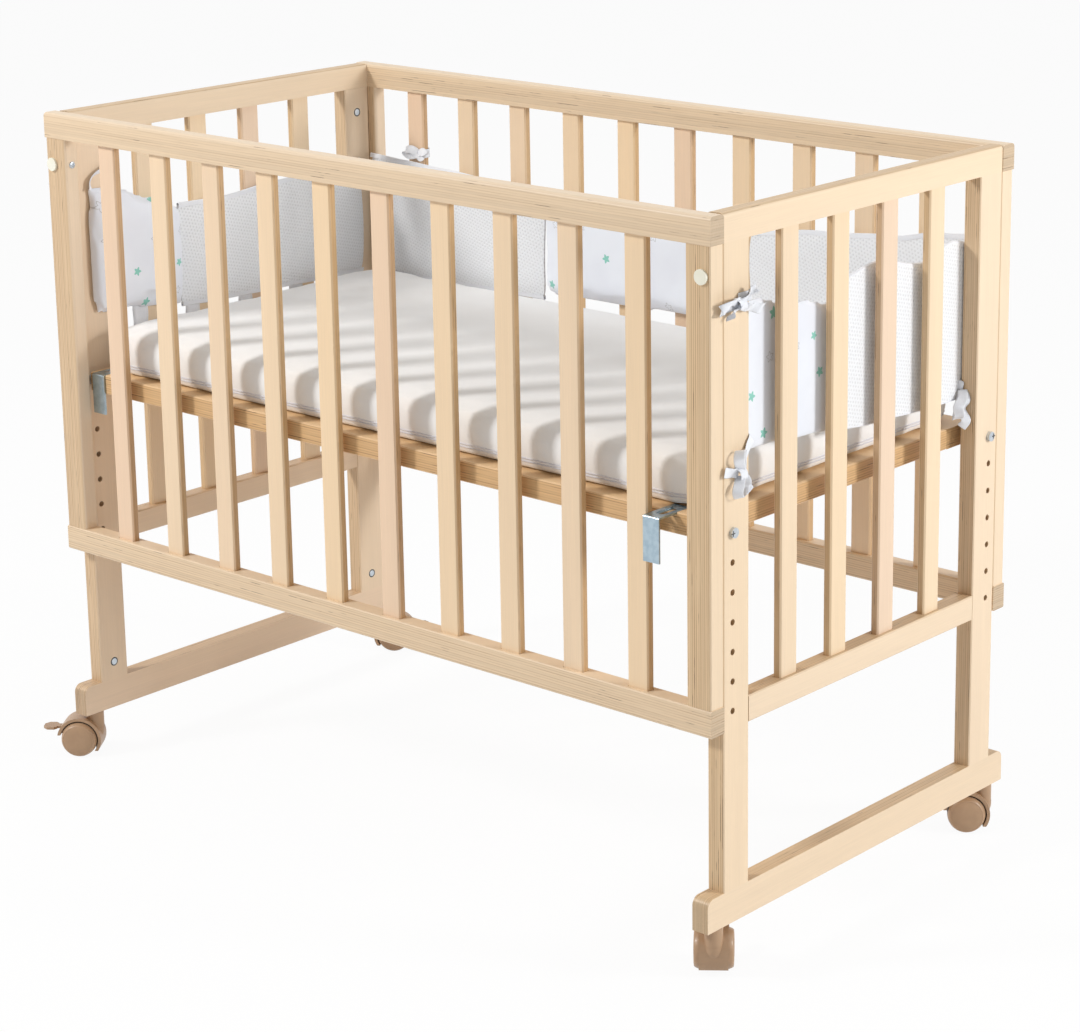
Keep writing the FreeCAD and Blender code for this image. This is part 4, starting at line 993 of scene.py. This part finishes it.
# %% Ties and tabs inside the crib
tie("tie_left_corner", [
    ([(-452, -212, 672), (-454, -211, 681), (-455.6, -204, 688), (-454, -190, 694),
      (-456, -174, 699), (-464, -166, 700), (-475, -168, 699), (-480.2, -178, 696),
      (-480.2, -196, 690)],
     [(0.5, -0.8, 0.2), (0.7, -0.3, 0.6), (0.5, -0.3, 0.8), (0.2, 0, 1), (0, 0.2, 1)]),
])
SLAT_LEFT, SLAT_RIGHT, SLAT_IN, SLAT_OUT = -396.4, -368.6, 234.9, 246.6
tie("tie_back_slat", [
    ([(SLAT_LEFT, SLAT_IN, 660), (-382, SLAT_IN, 660), (SLAT_RIGHT, SLAT_IN, 660),
      (SLAT_RIGHT, SLAT_OUT, 661), (-382, SLAT_OUT, 661), (SLAT_LEFT, SLAT_OUT, 661),
      (SLAT_LEFT, SLAT_IN, 660)], [UP, UP]),
    ([(-375, 233, 660), (-366, 230, 664), (-358, 228, 661), (-366, 229, 657), (-375, 232, 660)],
     [(0, 0.3, 1), (0, 0.6, 0.8), (0, 0.3, 1)]),
    ([(-375, 233, 660), (-384, 230, 665), (-392, 228, 663), (-385, 229, 658), (-375, 232, 660)],
     [(0, 0.3, 1), (0, 0.6, 0.8), (0, 0.3, 1)]),
])
tie("tie_back_right", [
    ([(462, 189, 508), (466, 183, 500), (464, 178, 491), (469, 174, 484), (463, 177, 479),
      (461, 184, 489), (462, 189, 506)],
     [(0.8, 0.5, 0.2), (0.6, 0.7, 0.3), (0.9, 0.2, 0.3), (0.6, 0.6, 0.4)]),
    ([(463, 189, 507), (468, 186, 497), (464, 185, 487), (469, 186, 476), (464, 184, 468)],
     [(0.7, 0.7, 0), (0.3, 0.9, 0.2), (0.8, 0.5, 0.1)]),
    ([(462, 190.2, 511), (452, 189, 513), (446, 186, 515)], [UP, UP]),
])

TAB, TAB_TOP, TAB_END, TAB_BACK = 22, 528, 499, -457.1
TAB_MIDDLES = (-146, -67, 16, 98)
ROWS, COLUMNS = 6, 4
for number, middle in enumerate(TAB_MIDDLES):
    spots = [(middle + TAB * (k / COLUMNS - 0.5), TAB_TOP + (TAB_END - TAB_TOP) * j / ROWS)
             for j in range(ROWS + 1) for k in range(COLUMNS + 1)]
    points = [Vector((TAB_BACK + 1.2 * math.sin((y + z) / 9) ** 2, y, z)) * MM for y, z in spots]
    corners = [j * (COLUMNS + 1) + k for j in range(ROWS) for k in range(COLUMNS)]
    faces = [(a, a + 1, a + COLUMNS + 2, a + COLUMNS + 1) for a in corners]
    tab = piece(f"bumper_tab_{number}", points, faces, tape_cotton, "frame", "bumper_fabric")
    thick = tab.modifiers.new("thick", "SOLIDIFY")
    thick.thickness, thick.offset = 0.6 * MM, 0
print(len(TAB_MIDDLES), "tabs,", TAB, "by", TAB_TOP - TAB_END, "mm")

# %% [markdown]
# ## Studio
# A white floor with soft light. The floor is mixed from a shaded white and a glow that only
# the camera and reflections see, so the picture has a white ground and the crib still stands
# in its own soft shadow. The key lamp at the front left draws the slats' shadows on the
# mattress, a low one at the right draws them on the bumper, and a broad one above fills in.

# %% Floor, lights and world
GLOW, AMBIENT, REACH = 0.94, 0.38, 9


def rays(wire):
    """1 for camera, mirror and glass rays, 0 for light that bounces."""
    path = wire.node("LightPath")
    seen = [Wire(wire.tree, path.socket.node.outputs[name])
            for name in ("Is Camera Ray", "Is Glossy Ray", "Is Transmission Ray")]
    return seen[0].math("MAXIMUM", seen[0], seen[1].math("MAXIMUM", seen[1], seen[2]))


paper = bpy.data.materials.new("white_floor")
paper.use_nodes = True
for old in list(paper.node_tree.nodes):
    paper.node_tree.nodes.remove(old)
wire = Wire(paper.node_tree)
matt = wire.node("BsdfDiffuse", None, {"Color": (0.9, 0.9, 0.9, 1)})
glow = wire.node("Emission", None, {"Color": (1, 1, 1, 1), "Strength": 1})
both = wire.node("MixShader", None, {0: rays(wire) * GLOW, 1: matt, 2: glow})
wire.node("OutputMaterial", None, {0: both})
floor_mesh = bpy.data.meshes.new("floor")
floor_mesh.from_pydata([(-REACH, -REACH, 0), (REACH, -REACH, 0), (REACH, REACH, 0),
                        (-REACH, REACH, 0)], [], [(0, 1, 2, 3)])
floor_mesh.materials.append(paper)
floor = bpy.data.objects.new("floor", floor_mesh)
bpy.context.scene.collection.objects.link(floor)

world = bpy.data.worlds.new("studio")
bpy.context.scene.world = world
world.use_nodes = True
sky = world.node_tree.nodes["Background"]
wire = Wire(world.node_tree)
sky.inputs["Color"].default_value = (1, 1, 1, 1)
feed(sky, "Strength", AMBIENT + rays(wire) * (1 - AMBIENT))


def lamp(name, at, aim, size, watts):
    """A square soft box that points at a place."""
    light = bpy.data.lights.new(name, "AREA")
    light.size, light.energy = size, watts
    holder = bpy.data.objects.new(name, light)
    bpy.context.scene.collection.objects.link(holder)
    holder.location = at
    holder.rotation_euler = (Vector(aim) - Vector(at)).to_track_quat("-Z", "Y").to_euler()
    print(name, "lamp of", watts, "W")


lamp("key", (-1.7, -2.6, 2.5), (0, 0, 0.4), size=0.6, watts=76)
lamp("side", (2.7, 1.0, 1.35), (0, 0, 0.45), size=0.6, watts=44)
lamp("top", (0.2, 0.3, 3.2), (0, 0, 0.4), size=2.2, watts=14)
bpy.context.scene.view_settings.view_transform = "Standard"
